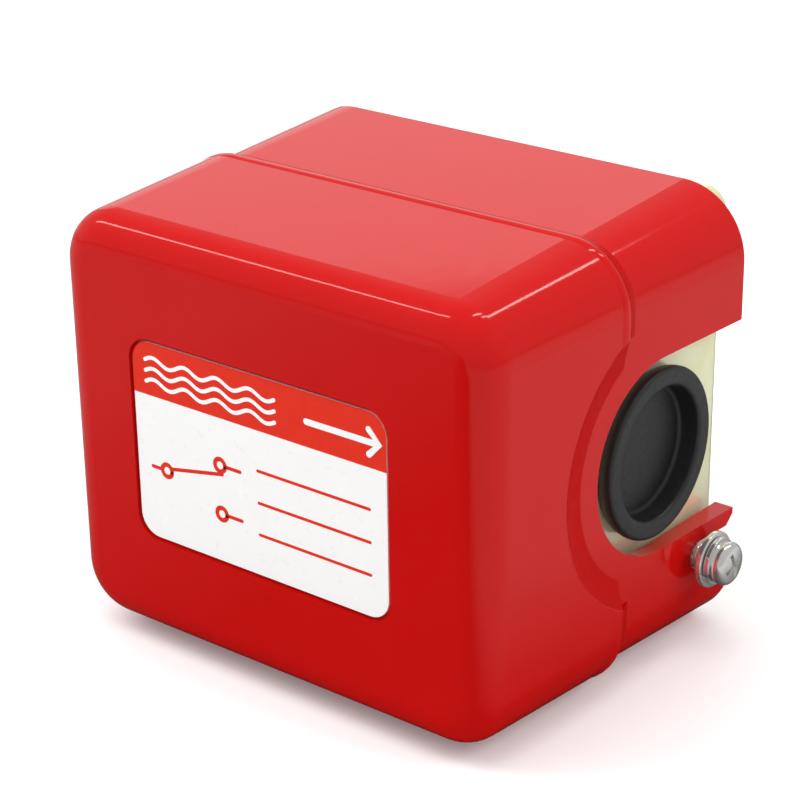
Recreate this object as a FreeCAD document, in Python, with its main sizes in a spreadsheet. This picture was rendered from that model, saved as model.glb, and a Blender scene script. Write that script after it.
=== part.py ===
import FreeCAD, Part
import math
import os
from types import SimpleNamespace

import Sketcher
from FreeCAD import Placement, Rotation, Vector

# Paddle flow switch. The origin lies on the axis of the pipe thread, where the thread meets the
# hexagon. +Y runs along the stem into the pipe, +X is the direction of flow, +Z is up as it lies.

doc = FreeCAD.newDocument("paddle_flow_switch")
sheet = doc.addObject("Spreadsheet::Sheet", "sizes")

SIZES = [
    # moulded cover
    ("cover_width", 86.0), ("cover_height", 72.2), ("cover_depth", 61.0), ("cover_draft", 3.3),
    ("cover_wall", 3.2), ("cavity_draft", 1.0), ("rim_corner", 11.0), ("front_length", 32.0),
    ("front_step", 1.0), ("front_corner", 10.3), ("front_edge_round", 5.5),
    ("seam_bevel", 0.3),
    ("entry_from_rim", 19.2), ("entry_rise", 0.3), ("recess_radius", 24.0), ("recess_slope", 2.7),
    ("slot_radius", 15.7), ("notch_radius", 2.3), ("notch_lead", 1.6),
    # label plate in its recess
    ("label_width", 49.8), ("label_height", 33.2), ("label_corner", 4.0), ("label_shift", -1.2),
    ("label_recess_depth", 0.7), ("label_margin", 0.5), ("label_thickness", 0.4),
    # bent base bracket
    ("plate_width", 77.2), ("plate_height", 70.8), ("plate_thickness", 1.5), ("plate_corner", 5.5),
    ("bend_radius", 2.0), ("flange_height", 50.0), ("flange_corner", 9.0), ("relief_width", 1.6),
    ("entry_flange_reach", 35.0), ("plain_flange_reach", 18.5), ("entry_hole_radius", 11.0),
    # cable grommet
    ("grommet_radius", 13.8), ("grommet_lip", 3.2), ("grommet_bore", 10.4), ("grommet_depth", 3.6),
    ("grommet_membrane", 1.0), ("grommet_inner_lip", 1.4), ("grommet_inner_radius", 12.5),
    # cover screws and their washers, backed out of their nuts
    ("cover_screw_from_rim", 8.7), ("cover_screw_drop", 20.3), ("washer_stand_off", 6.0),
    ("flat_washer_radius", 4.5), ("flat_washer_thickness", 0.8), ("lock_washer_radius", 3.8),
    ("lock_washer_thickness", 1.0), ("cover_screw_length", 13.0),
    # screws in general
    ("screw_radius", 2.0), ("head_radius", 3.5), ("head_height", 2.5), ("nut_across_flats", 7.0),
    ("nut_height", 3.2), ("thread_clearance", 0.02), ("hole_clearance", 0.15),
    # brass stem
    ("thread_radius", 10.48), ("thread_length", 16.0), ("thread_chamfer", 1.2),
    ("hex_across_flats", 27.0), ("hex_length", 9.0),
    ("stem_flange_margin", 4.03), ("stem_flange_thickness", 4.5), ("boss_radius", 10.0),
    ("boss_rise", 8.0), ("stem_bore", 6.0), ("gasket_thickness", 1.0), ("boss_clearance", 0.3),
    ("stem_screw_spacing", 24.0), ("stem_screw_grip", 3.0),
    # pivot, paddle and bellows
    ("pivot_from_boss_top", 3.3), ("pin_radius", 1.5), ("pin_length", 19.0), ("running_clearance", 0.05),
    ("arm_radius", 2.0), ("eye_radius", 4.2), ("eye_length", 8.0), ("arm_length", 26.0),
    ("tang_length", 9.5), ("blade_width", 12.0), ("blade_thickness", 0.8), ("blade_start", 17.0),
    ("blade_length", 13.0), ("rivet_radius", 0.8), ("rivet_head_radius", 1.4), ("rivet_head", 0.5),
    ("rivet_first", 19.4), ("rivet_spacing", 4.2), ("bellows_crest", 8.4), ("bellows_root", 6.3),
    ("bellows_length", 8.5), ("bellows_wall", 0.3), ("bellows_count", 5.0), ("cap_thickness", 1.5),
    # bent switch lever
    ("lever_thickness", 1.5), ("lever_width", 10.0), ("lever_foot", 12.0), ("lever_height", 26.0),
    ("lever_top_width", 7.0),
    # snap-action switch
    ("case_length", 49.2), ("case_height", 24.0), ("case_thickness", 17.5), ("case_round", 1.0),
    ("case_hole_spacing", 25.4), ("case_hole_radius", 2.1), ("case_hole_inset", 11.5),
    ("plunger_radius", 2.2), ("plunger_reach", 4.2), ("plunger_seat", 2.5), ("plunger_gap", 0.3),
    ("plunger_travel", 3.4), ("bay_width", 9.0), ("bay_depth", 6.0), ("bay_length", 7.0),
    ("bay_pitch", 16.0), ("clamp_width", 7.0), ("clamp_thickness", 1.0), ("clamp_overhang", 3.0),
    ("terminal_screw_radius", 1.7), ("terminal_head_radius", 3.0), ("terminal_head_height", 2.0),
    ("terminal_screw_length", 5.0),
    # bridge under the switch
    ("bridge_thickness", 1.5), ("bridge_width", 18.0), ("bridge_side_gap", 2.7), ("bridge_rise", 27.5),
    ("bridge_foot", 8.0),
    # range adjustment
    ("spring_rise", 21.0), ("spring_bracket_place", 28.5), ("spring_bracket_thickness", 1.5),
    ("spring_bracket_width", 18.0), ("spring_bracket_height", 25.0), ("spring_bracket_foot", 12.0),
    ("adjuster_length", 18.0), ("adjuster_head", 3.2), ("spring_nut_thickness", 2.4),
    ("spring_nut_width", 8.0), ("spring_length", 11.6), ("spring_radius", 3.0),
    ("spring_wire_radius", 0.4), ("spring_turns", 5.0), ("spring_gap", 0.05), ("slide_gap", 0.2),
    # earth terminal
    ("earth_screw_side_edge", 13.6), ("earth_screw_low_edge", 13.4),
]


class Measure:
    """A length of the sheet, or one worked out from such lengths: its formula and its number."""

    def __init__(self, formula, number):
        self.formula = formula
        self.number = number

    def joined(self, sign, left, right, number):
        return Measure(f"({left.formula} {sign} {right.formula})", number)

    def __add__(self, other):
        other = measure(other)
        return self.joined("+", self, other, self.number + other.number)

    def __sub__(self, other):
        other = measure(other)
        return self.joined("-", self, other, self.number - other.number)

    def __mul__(self, other):
        other = measure(other)
        return self.joined("*", self, other, self.number * other.number)

    def __truediv__(self, other):
        other = measure(other)
        return self.joined("/", self, other, self.number / other.number)

    def __radd__(self, other):
        return measure(other) + self

    def __rsub__(self, other):
        return measure(other) - self

    def __rmul__(self, other):
        return measure(other) * self

    def __neg__(self):
        return Measure(f"(0 - {self.formula})", -self.number)


def measure(value):
    """Take a plain number as a Measure, and leave a Measure as it is."""
    if isinstance(value, Measure):
        return value
    return Measure(repr(float(value)), float(value))


def tangent(angle):
    """The slope of an angle that the sheet gives in degrees."""
    return Measure(f"tan({angle.formula} * 1 deg)", math.tan(math.radians(angle.number)))


size = SimpleNamespace()
for row, (alias, number) in enumerate(SIZES, start=1):
    sheet.set(f"A{row}", alias.replace("_", " "))
    sheet.set(f"B{row}", str(number))
    sheet.setAlias(f"B{row}", alias)
    setattr(size, alias, Measure(f"sizes.{alias}", number))
doc.recompute()


# ---- small vocabulary for bodies, sketches and primitives ----

def bind(thing, prop, value):
    """Bind one property of an object to the sheet."""
    thing.setExpression(prop, measure(value).formula)


def new_body(name):
    body = doc.addObject("PartDesign::Body", name)
    body.Label = name
    return body


def new_sketch(body, role, shift=(0, 0, 0)):
    """A sketch on an origin plane of its own body, shifted within and along that plane."""
    plane = next(item for item in body.Origin.OriginFeatures if item.Role == role)
    sketch = body.newObject("Sketcher::SketchObject", body.Name + "_sketch")
    sketch.AttachmentSupport = [(plane, "")]
    sketch.MapMode = "FlatFace"
    numbers = [measure(value).number for value in shift]
    sketch.AttachmentOffset = Placement(Vector(*numbers), Rotation())
    for letter, value in zip("xyz", shift):
        bind(sketch, f"AttachmentOffset.Base.{letter}", value)
    return sketch


def place_point(sketch, item, end, point):
    """Hold one end of a sketch line or arc at a place that the sheet gives."""
    for kind, value in zip(("DistanceX", "DistanceY"), point):
        value = measure(value)
        index = sketch.addConstraint(Sketcher.Constraint(kind, -1, 1, item, end, value.number))
        bind(sketch, f"Constraints[{index}]", value)


def draw_polygon(sketch, points):
    """A closed outline of straight lines through the given points."""
    numbers = [Vector(measure(x).number, measure(y).number, 0) for x, y in points]
    first = sketch.GeometryCount
    count = len(points)
    for k in range(count):
        sketch.addGeometry(Part.LineSegment(numbers[k], numbers[(k + 1) % count]), False)
    for k in range(count):
        following = first + (k + 1) % count
        sketch.addConstraint(Sketcher.Constraint("Coincident", first + k, 2, following, 1))
    for k in range(count):
        place_point(sketch, first + k, 1, points[k])


def draw_circle(sketch, centre, radius):
    radius = measure(radius)
    middle = Vector(measure(centre[0]).number, measure(centre[1]).number, 0)
    item = sketch.addGeometry(Part.Circle(middle, Vector(0, 0, 1), radius.number), False)
    place_point(sketch, item, 3, centre)
    index = sketch.addConstraint(Sketcher.Constraint("Radius", item, radius.number))
    bind(sketch, f"Constraints[{index}]", radius)


def draw_rounded(sketch, centre, width, height, corner):
    """A rectangle with four equal round corners."""
    half_w, half_h = measure(width) / 2, measure(height) / 2
    corner = measure(corner)
    arcs = []
    for turn, (sx, sy) in enumerate(((1, 1), (-1, 1), (-1, -1), (1, -1))):
        middle = (centre[0] + sx * (half_w - corner), centre[1] + sy * (half_h - corner))
        numbers = Vector(measure(middle[0]).number, measure(middle[1]).number, 0)
        circle = Part.Circle(numbers, Vector(0, 0, 1), corner.number)
        start = turn * math.pi / 2
        item = sketch.addGeometry(Part.ArcOfCircle(circle, start, start + math.pi / 2), False)
        arcs.append((item, middle, (sx, sy)))
    for k, (item, middle, signs) in enumerate(arcs):
        following = arcs[(k + 1) % 4][0]
        ends = [sketch.Geometry[item].EndPoint, sketch.Geometry[following].StartPoint]
        side = sketch.addGeometry(Part.LineSegment(*ends), False)
        sketch.addConstraint(Sketcher.Constraint("Tangent", item, 2, side, 1))
        sketch.addConstraint(Sketcher.Constraint("Tangent", side, 2, following, 1))
        sketch.addConstraint(Sketcher.Constraint("Vertical" if k % 2 else "Horizontal", side))
    for k in range(1, 4):
        sketch.addConstraint(Sketcher.Constraint("Equal", arcs[0][0], arcs[k][0]))
    index = sketch.addConstraint(Sketcher.Constraint("Radius", arcs[0][0], corner.number))
    bind(sketch, f"Constraints[{index}]", corner)
    place_point(sketch, arcs[0][0], 3, arcs[0][1])
    place_point(sketch, arcs[2][0], 3, arcs[2][1])


def extrude(body, kind, sketch, length, backwards=False, both_ways=False, taper=None):
    """A pad or a pocket of a sketch, in one named step that reports a step that does nothing."""
    before = body.Shape.Volume if body.Tip is not None and not body.Shape.isNull() else 0.0
    feature = body.newObject(kind, body.Name + "_" + kind.split("::")[1].lower())
    feature.Profile = sketch
    feature.Length = measure(length).number
    bind(feature, "Length", length)
    feature.Reversed = backwards
    if both_ways:
        feature.SideType = "Symmetric"
    if taper is not None:
        feature.TaperAngle = -measure(taper).number
        bind(feature, "TaperAngle", -measure(taper))
    doc.recompute()
    gained = feature.Shape.Volume - before
    if abs(gained) < 0.01 or (gained > 0) != (kind == "PartDesign::Pad"):
        raise ValueError(f"{feature.Label} changes nothing: {gained:.3f}")
    return feature


def revolve(body, kind, sketch, axis):
    feature = body.newObject(kind, body.Name + "_" + kind.split("::")[1].lower())
    feature.Profile = sketch
    feature.ReferenceAxis = (sketch, [axis])
    feature.Angle = 360.0
    doc.recompute()
    return feature


def round_edges(body, radius, wanted, kind="PartDesign::Fillet"):
    """Fillet or chamfer the edges of the body's last step that the test wanted(edge) picks."""
    base = body.Tip
    names = [f"Edge{k}" for k, edge in enumerate(base.Shape.Edges, start=1) if wanted(edge)]
    if not names:
        raise ValueError(f"{body.Label}: no edge to round")
    feature = body.newObject(kind, body.Name + "_" + kind.split("::")[1].lower())
    feature.Base = (base, names)
    prop = "Radius" if kind.endswith("Fillet") else "Size"
    setattr(feature, prop, measure(radius).number)
    bind(feature, prop, radius)
    doc.recompute()
    return feature


TURNS = {"X": Rotation(Vector(0, 1, 0), 90), "-X": Rotation(Vector(0, 1, 0), -90),
         "Y": Rotation(Vector(1, 0, 0), -90), "-Y": Rotation(Vector(1, 0, 0), 90),
         "Z": Rotation(), "-Z": Rotation(Vector(1, 0, 0), 180)}


def primitive(kind, name, base, axis, **sizes):
    """A Part primitive whose own Z axis points along the named axis, bound to the sheet."""
    thing = doc.addObject(kind, name)
    numbers = [measure(value).number for value in base]
    thing.Placement = Placement(Vector(*numbers), TURNS[axis])
    for letter, value in zip("xyz", base):
        bind(thing, f"Placement.Base.{letter}", value)
    for prop, value in sizes.items():
        setattr(thing, prop, measure(value).number)
        bind(thing, prop, value)
    return thing


def rod(name, base, axis, radius, length):
    return primitive("Part::Cylinder", name, base, axis, Radius=radius, Height=length)


def cone(name, base, axis, near, far, length):
    return primitive("Part::Cone", name, base, axis, Radius1=near, Radius2=far, Height=length)


def block(name, low, extent):
    sizes = dict(zip(("Length", "Width", "Height"), extent))
    return primitive("Part::Box", name, low, "Z", **sizes)


def hexagon(name, base, axis, across_flats, height):
    corner = measure(across_flats) / math.sqrt(3)
    thing = primitive("Part::Prism", name, base, axis, Circumradius=corner, Height=height)
    thing.Polygon = 6
    return thing


def fuse(name, shapes):
    if len(shapes) == 1:
        return shapes[0]
    thing = doc.addObject("Part::MultiFuse", name)
    thing.Shapes = shapes
    return thing


def cut(name, base, tools):
    thing = doc.addObject("Part::Cut", name)
    thing.Base = base
    thing.Tool = fuse(name + "_tools", tools)
    return thing


def group(name, shapes):
    """One node that holds several equal separate pieces."""
    thing = doc.addObject("Part::Compound", name)
    thing.Links = shapes
    return thing


def pan_screw(name, seat, axis, step, radius, length, head_radius, head_height):
    """A pan head screw: seat is the centre under its head, axis the way its head points."""
    flat = measure(head_height) * 0.6
    raised = [place + step_part * flat for place, step_part in zip(seat, step)]
    behind = [place - step_part * measure(length) for place, step_part in zip(seat, step)]
    head = rod(name + "_head", seat, axis, head_radius, flat)
    crown = cone(name + "_crown", raised, axis, head_radius, measure(head_radius) * 0.7,
                 measure(head_height) * 0.4)
    shank = rod(name + "_shank", behind, axis, radius, length)
    return fuse(name, [head, crown, shank])


nodes = {}


def keep(name, thing):
    thing.Label = name
    nodes[name] = thing


# ---- datum planes, worked out from the pieces that stack along the stem ----

stem_seat = -(size.hex_length + size.stem_flange_thickness)
plate_back = stem_seat - size.gasket_thickness
rim = plate_back - size.plate_thickness
front = rim - size.cover_depth
seam = front + size.front_length
boss_top = stem_seat - size.boss_rise
pivot = boss_top + size.pivot_from_boss_top
entry = (rim - size.entry_from_rim, measure(size.entry_rise))
screw_at = (rim - size.cover_screw_from_rim, -size.cover_screw_drop)
slope = tangent(size.cover_draft)
flange_face = size.plate_width / 2
stem_flange = size.stem_screw_spacing * math.sqrt(0.5) + size.stem_flange_margin
hole_radius = size.screw_radius + size.hole_clearance
snug_radius = size.screw_radius + size.thread_clearance


# ---- cover: a drafted box, proud in front, with a round recess about the cable entry ----

cover = new_body("cover")
seam_inset = slope * (size.cover_depth - size.front_length) - size.front_step
outline = new_sketch(cover, "XZ_Plane", (0, 0, -seam))
draw_rounded(outline, (0, 0), size.cover_width - seam_inset * 2, size.cover_height - seam_inset * 2,
             size.front_corner)
extrude(cover, "PartDesign::Pad", outline, size.front_length, taper=size.cover_draft)

# Its rear edge is broken all round before the recess cuts in, and then at the recess.
seam_at = seam.number
round_edges(cover, size.seam_bevel,
            lambda edge: all(abs(corner.Y - seam_at) < 1e-4 for corner in edge.Vertexes),
            "PartDesign::Chamfer")

# The recess is a cone square to the drafted side. The rear portion then fills its floor.
side_at_entry = size.cover_width / 2 - slope * size.entry_from_rim
cone_profile = new_sketch(cover, "XY_Plane", (side_at_entry, entry[0], entry[1]))
tilted = Rotation(Vector(0, 0, -1), size.cover_draft.number)
cone_profile.AttachmentOffset = Placement(cone_profile.AttachmentOffset.Base, tilted)
bind(cone_profile, "AttachmentOffset.Rotation.Angle", size.cover_draft)
flare = size.recess_slope / size.front_step
floor_radius = size.recess_radius - size.recess_slope
draw_polygon(cone_profile, [(-1, 0), (-1, floor_radius - flare), (3, floor_radius + flare * 3), (3, 0)])
revolve(cover, "PartDesign::Groove", cone_profile, "H_Axis")

round_edges(cover, size.seam_bevel,
            lambda edge: edge.Curve.TypeId == "Part::GeomHyperbola"
            and all(abs(corner.Y - seam_at) < 1e-4 for corner in edge.Vertexes),
            "PartDesign::Chamfer")

rim_outline = new_sketch(cover, "XZ_Plane", (0, 0, -rim))
draw_rounded(rim_outline, (0, 0), size.cover_width, size.cover_height, size.rim_corner)
extrude(cover, "PartDesign::Pad", rim_outline, size.cover_depth - size.cover_wall / 2,
        taper=size.cover_draft)

front_at = front.number
round_edges(cover, size.front_edge_round,
            lambda edge: all(abs(corner.Y - front_at) < 1e-4 for corner in edge.Vertexes))

cavity = new_sketch(cover, "XZ_Plane", (0, 0, -rim))
draw_rounded(cavity, (0, 0), size.cover_width - size.cover_wall * 2,
             size.cover_height - size.cover_wall * 2, size.rim_corner - size.cover_wall)
extrude(cover, "PartDesign::Pocket", cavity, size.cover_depth - size.cover_wall, backwards=True,
        taper=size.cavity_draft)

label_recess = new_sketch(cover, "XZ_Plane", (0, 0, -front))
draw_rounded(label_recess, (size.label_shift, 0), size.label_width, size.label_height,
             size.label_corner)
extrude(cover, "PartDesign::Pocket", label_recess, size.label_recess_depth)

slot_round = new_sketch(cover, "YZ_Plane", (0, 0, size.cover_width / 4))
draw_circle(slot_round, entry, size.slot_radius)
extrude(cover, "PartDesign::Pocket", slot_round, size.cover_width / 2, backwards=True)
slot_run = new_sketch(cover, "YZ_Plane", (0, 0, size.cover_width / 4))
slot_low, slot_high = entry[1] - size.slot_radius, entry[1] + size.slot_radius
draw_polygon(slot_run, [(entry[0], slot_low), (rim + 1, slot_low), (rim + 1, slot_high),
                        (entry[0], slot_high)])
extrude(cover, "PartDesign::Pocket", slot_run, size.cover_width / 2, backwards=True)

notch_round = new_sketch(cover, "YZ_Plane")
draw_circle(notch_round, screw_at, size.notch_radius)
extrude(cover, "PartDesign::Pocket", notch_round, size.cover_width + 2, both_ways=True)
notch_run = new_sketch(cover, "YZ_Plane")
notch_low, notch_high = screw_at[1] - size.notch_radius, screw_at[1] + size.notch_radius
lead = size.notch_lead
draw_polygon(notch_run, [(screw_at[0], notch_low), (rim - lead, notch_low), (rim, notch_low - lead),
                         (rim + 1, notch_low - lead), (rim + 1, notch_high + lead),
                         (rim, notch_high + lead), (rim - lead, notch_high),
                         (screw_at[0], notch_high)])
extrude(cover, "PartDesign::Pocket", notch_run, size.cover_width + 2, both_ways=True)
keep("cover", cover)

# ---- label plate: a thin plate on the floor of the recess ----

label_plate = new_body("label_plate")
label_outline = new_sketch(label_plate, "XZ_Plane", (0, 0, -(front + size.label_recess_depth)))
draw_rounded(label_outline, (size.label_shift, 0), size.label_width - size.label_margin * 2,
             size.label_height - size.label_margin * 2, size.label_corner - size.label_margin)
extrude(label_plate, "PartDesign::Pad", label_outline, size.label_thickness)
keep("label_plate", label_plate)

# ---- base bracket: one steel plate with a flange bent up on each side ----

bracket = new_body("base_bracket")
plate_outline = new_sketch(bracket, "XZ_Plane", (0, 0, -plate_back))
draw_rounded(plate_outline, (0, 0), size.plate_width, size.plate_height, size.plate_corner)
extrude(bracket, "PartDesign::Pad", plate_outline, size.plate_thickness)

reliefs = new_sketch(bracket, "XZ_Plane", (0, 0, -plate_back))
half_flange = size.flange_height / 2
relief_inner = flange_face - size.bend_radius - size.plate_thickness
for side in (1, -1):
    for end in (1, -1):
        draw_polygon(reliefs, [(side * relief_inner, end * half_flange),
                               (side * (flange_face + 1), end * half_flange),
                               (side * (flange_face + 1), end * (half_flange + size.relief_width)),
                               (side * relief_inner, end * (half_flange + size.relief_width))])
extrude(bracket, "PartDesign::Pocket", reliefs, size.plate_thickness, backwards=True)

flange_reaches = ((flange_face - size.plate_thickness, size.entry_flange_reach),
                  (-flange_face, size.plain_flange_reach))
for place, reach in flange_reaches:
    flange_outline = new_sketch(bracket, "YZ_Plane", (0, 0, place))
    draw_polygon(flange_outline, [(plate_back, -half_flange), (plate_back, half_flange),
                                  (rim - reach, half_flange), (rim - reach, -half_flange)])
    extrude(bracket, "PartDesign::Pad", flange_outline, size.plate_thickness)


def bend_edge(x, y, half_length):
    """A test for the edge of a bend: it runs along Z at the given place, within the flange."""
    x, y, half_length = abs(measure(x).number), measure(y).number, measure(half_length).number

    def wanted(edge):
        middle = edge.CenterOfMass
        spread = edge.BoundBox.ZLength
        placed = abs(abs(middle.x) - x) < 1e-3 and abs(middle.y - y) < 1e-3
        return placed and abs(middle.z) < half_length and spread > half_length
    return wanted


round_edges(bracket, size.bend_radius, bend_edge(flange_face, plate_back, half_flange))
round_edges(bracket, size.bend_radius - size.plate_thickness,
            bend_edge(flange_face - size.plate_thickness, rim, half_flange))
flange_ends = [(rim - reach).number for place, reach in flange_reaches]
half_flange_at = half_flange.number
round_edges(bracket, size.flange_corner,
            lambda edge: edge.BoundBox.XLength > 0.5 * size.plate_thickness.number
            and edge.BoundBox.YLength < 1e-3 and edge.BoundBox.ZLength < 1e-3
            and min(abs(edge.CenterOfMass.y - place) for place in flange_ends) < 1e-3
            and abs(abs(edge.CenterOfMass.z) - half_flange_at) < 1e-3)

plate_holes = new_sketch(bracket, "XZ_Plane", (0, 0, -plate_back))
draw_circle(plate_holes, (0, 0), size.boss_radius + size.boss_clearance)
stem_screw_places = []
for sx in (1, -1):
    for sz in (1, -1):
        place = (size.stem_screw_spacing / 2 * sx, size.stem_screw_spacing / 2 * sz)
        stem_screw_places.append(place)
        draw_circle(plate_holes, place, hole_radius)
earth_place = (size.plate_width / 2 - size.earth_screw_side_edge,
               size.earth_screw_low_edge - size.plate_height / 2)
draw_circle(plate_holes, earth_place, snug_radius)
extrude(bracket, "PartDesign::Pocket", plate_holes, size.plate_thickness, backwards=True)

entry_holes = new_sketch(bracket, "YZ_Plane")
draw_circle(entry_holes, entry, size.entry_hole_radius)
extrude(bracket, "PartDesign::Pocket", entry_holes, flange_face + 1, backwards=True)
cover_screw_holes = new_sketch(bracket, "YZ_Plane")
draw_circle(cover_screw_holes, screw_at, hole_radius)
extrude(bracket, "PartDesign::Pocket", cover_screw_holes, size.plate_width + 2, both_ways=True)
keep("base_bracket", bracket)

# ---- cable grommet: a blind rubber cup that snaps into the flange hole ----

grommet = new_body("cable_grommet")
grommet_profile = new_sketch(grommet, "XY_Plane", (0, entry[0], entry[1]))
lip_face = flange_face + size.grommet_lip
cup_floor = lip_face - size.grommet_depth
inner_face = flange_face - size.plate_thickness
neck_radius = size.entry_hole_radius - size.running_clearance
lip_bevel = size.grommet_lip / 4
draw_polygon(grommet_profile, [
    (cup_floor - size.grommet_membrane, 0),
    (cup_floor - size.grommet_membrane, size.grommet_bore),
    (inner_face - size.grommet_inner_lip, size.grommet_inner_radius - size.grommet_inner_lip / 2),
    (inner_face, size.grommet_inner_radius),
    (inner_face, neck_radius),
    (flange_face, neck_radius),
    (flange_face, size.grommet_radius),
    (lip_face - lip_bevel, size.grommet_radius),
    (lip_face, size.grommet_radius - lip_bevel),
    (lip_face, size.grommet_bore),
    (cup_floor, size.grommet_bore),
    (cup_floor, 0)])
revolve(grommet, "PartDesign::Revolution", grommet_profile, "H_Axis")
keep("cable_grommet", grommet)

# ---- cover screws with their washers, and the nuts behind the flanges ----

washer_seat = flange_face + size.washer_stand_off
lock_seat = washer_seat + size.flat_washer_thickness
head_seat = lock_seat + size.lock_washer_thickness
sides = (("right", 1, "X"), ("left", -1, "-X"))
cover_screws, flat_washers, lock_washers, screw_nuts = [], [], [], []
for side, sign, axis in sides:
    seat = (head_seat * sign, screw_at[0], screw_at[1])
    cover_screws.append(pan_screw(f"{side}_cover_screw", seat, axis, (sign, 0, 0), size.screw_radius,
                                  size.cover_screw_length, size.head_radius, size.head_height))
    ring_base = (washer_seat * sign, screw_at[0], screw_at[1])
    ring = rod(f"{side}_flat_ring", ring_base, axis, size.flat_washer_radius,
               size.flat_washer_thickness)
    bore = rod(f"{side}_flat_bore", ring_base, axis, snug_radius, size.flat_washer_thickness)
    flat_washers.append(cut(f"{side}_flat_washer", ring, [bore]))
    ring_base = (lock_seat * sign, screw_at[0], screw_at[1])
    ring = rod(f"{side}_lock_ring", ring_base, axis, size.lock_washer_radius,
               size.lock_washer_thickness)
    bore = rod(f"{side}_lock_bore", ring_base, axis, snug_radius, size.lock_washer_thickness)
    low_x = lock_seat if sign > 0 else -head_seat
    split = block(f"{side}_lock_split", (low_x, screw_at[0] - size.lock_washer_thickness / 4, screw_at[1]),
                  (size.lock_washer_thickness, size.lock_washer_thickness / 2,
                   size.lock_washer_radius + 1))
    lock_washers.append(cut(f"{side}_lock_washer", ring, [bore, split]))
    nut_base = ((inner_face - size.nut_height) * sign, screw_at[0], screw_at[1])
    nut = hexagon(f"{side}_nut_blank", nut_base, axis, size.nut_across_flats, size.nut_height)
    bore = rod(f"{side}_nut_bore", nut_base, axis, snug_radius, size.nut_height)
    screw_nuts.append(cut(f"{side}_cover_screw_nut", nut, [bore]))
keep("cover_screws", group("cover_screws", cover_screws))
keep("cover_flat_washers", group("cover_flat_washers", flat_washers))
keep("cover_lock_washers", group("cover_lock_washers", lock_washers))
keep("cover_screw_nuts", group("cover_screw_nuts", screw_nuts))

# ---- stem: turned brass with a round flange, a hexagon and the pipe thread's outside ----

stem = new_body("stem_body")
stem_profile = new_sketch(stem, "XY_Plane")
draw_polygon(stem_profile, [
    (0, boss_top), (size.boss_radius, boss_top), (size.boss_radius, stem_seat),
    (stem_flange, stem_seat), (stem_flange, -size.hex_length),
    (size.thread_radius, -size.hex_length),
    (size.thread_radius, size.thread_length - size.thread_chamfer),
    (size.thread_radius - size.thread_chamfer, size.thread_length), (0, size.thread_length)])
revolve(stem, "PartDesign::Revolution", stem_profile, "V_Axis")
hex_outline = new_sketch(stem, "XZ_Plane")
hex_corner = size.hex_across_flats / math.sqrt(3)
draw_polygon(hex_outline, [(hex_corner * math.cos(math.radians(60 * k)),
                            hex_corner * math.sin(math.radians(60 * k))) for k in range(6)])
extrude(stem, "PartDesign::Pad", hex_outline, size.hex_length)
bore_outline = new_sketch(stem, "XZ_Plane", (0, 0, -size.thread_length))
draw_circle(bore_outline, (0, 0), size.stem_bore)
extrude(stem, "PartDesign::Pocket", bore_outline, size.thread_length - boss_top + 1, backwards=True)
tapped = new_sketch(stem, "XZ_Plane", (0, 0, -stem_seat))
for place in stem_screw_places:
    draw_circle(tapped, place, snug_radius)
extrude(stem, "PartDesign::Pocket", tapped, size.stem_screw_grip)
pin_hole = new_sketch(stem, "XY_Plane")
draw_circle(pin_hole, (0, pivot), size.pin_radius + size.thread_clearance)
extrude(stem, "PartDesign::Pocket", pin_hole, size.boss_radius * 2 + 2, both_ways=True)
keep("stem_body", stem)

gasket = new_body("stem_gasket")
gasket_outline = new_sketch(gasket, "XZ_Plane", (0, 0, -stem_seat))
draw_circle(gasket_outline, (0, 0), stem_flange)
draw_circle(gasket_outline, (0, 0), size.boss_radius + size.boss_clearance)
for place in stem_screw_places:
    draw_circle(gasket_outline, place, hole_radius)
extrude(gasket, "PartDesign::Pad", gasket_outline, size.gasket_thickness)
keep("stem_gasket", gasket)

stem_screw_length = size.plate_thickness + size.gasket_thickness + size.stem_screw_grip
stem_screws = [pan_screw(f"stem_screw_{k}", (place[0], rim, place[1]), "-Y", (0, -1, 0),
                         size.screw_radius, stem_screw_length, size.head_radius, size.head_height)
               for k, place in enumerate(stem_screw_places, start=1)]
keep("stem_screws", group("stem_screws", stem_screws))
keep("earth_screw", pan_screw("earth_screw", (earth_place[0], rim, earth_place[1]), "-Y", (0, -1, 0),
                              size.screw_radius, size.plate_thickness * 2, size.head_radius,
                              size.head_height))

# ---- pivot pin, paddle arm, blade and rivets ----

keep("pivot_pin", rod("pivot_pin", (0, pivot, -size.pin_length / 2), "Z", size.pin_radius,
                      size.pin_length))

cap_base = boss_top - size.bellows_length
lever_seat = cap_base - size.cap_thickness
nut_seat = lever_seat - size.lever_thickness
arm_end = nut_seat - size.nut_height - 0.5
shaft = rod("arm_shaft", (0, arm_end, 0), "Y", size.arm_radius, size.arm_length - arm_end)
eye = rod("arm_eye", (0, pivot, -size.eye_length / 2), "Z", size.eye_radius, size.eye_length)
eye_hole = rod("arm_eye_hole", (0, pivot, -size.eye_length), "Z",
               size.pin_radius + size.running_clearance, size.eye_length * 2)
flat = block("arm_flat", (0, size.arm_length - size.tang_length, -size.arm_radius * 2),
             (size.arm_radius * 2, size.tang_length + 1, size.arm_radius * 4))
rivet_places = [size.rivet_first, size.rivet_first + size.rivet_spacing]
rivet_holes = [rod(f"arm_rivet_hole_{k}", (-size.arm_radius - 1, y, 0), "X",
                   size.rivet_radius + size.thread_clearance, size.arm_radius * 2)
               for k, y in enumerate(rivet_places, start=1)]
keep("paddle_arm", cut("paddle_arm", fuse("arm_blank", [shaft, eye]), [eye_hole, flat] + rivet_holes))

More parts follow.
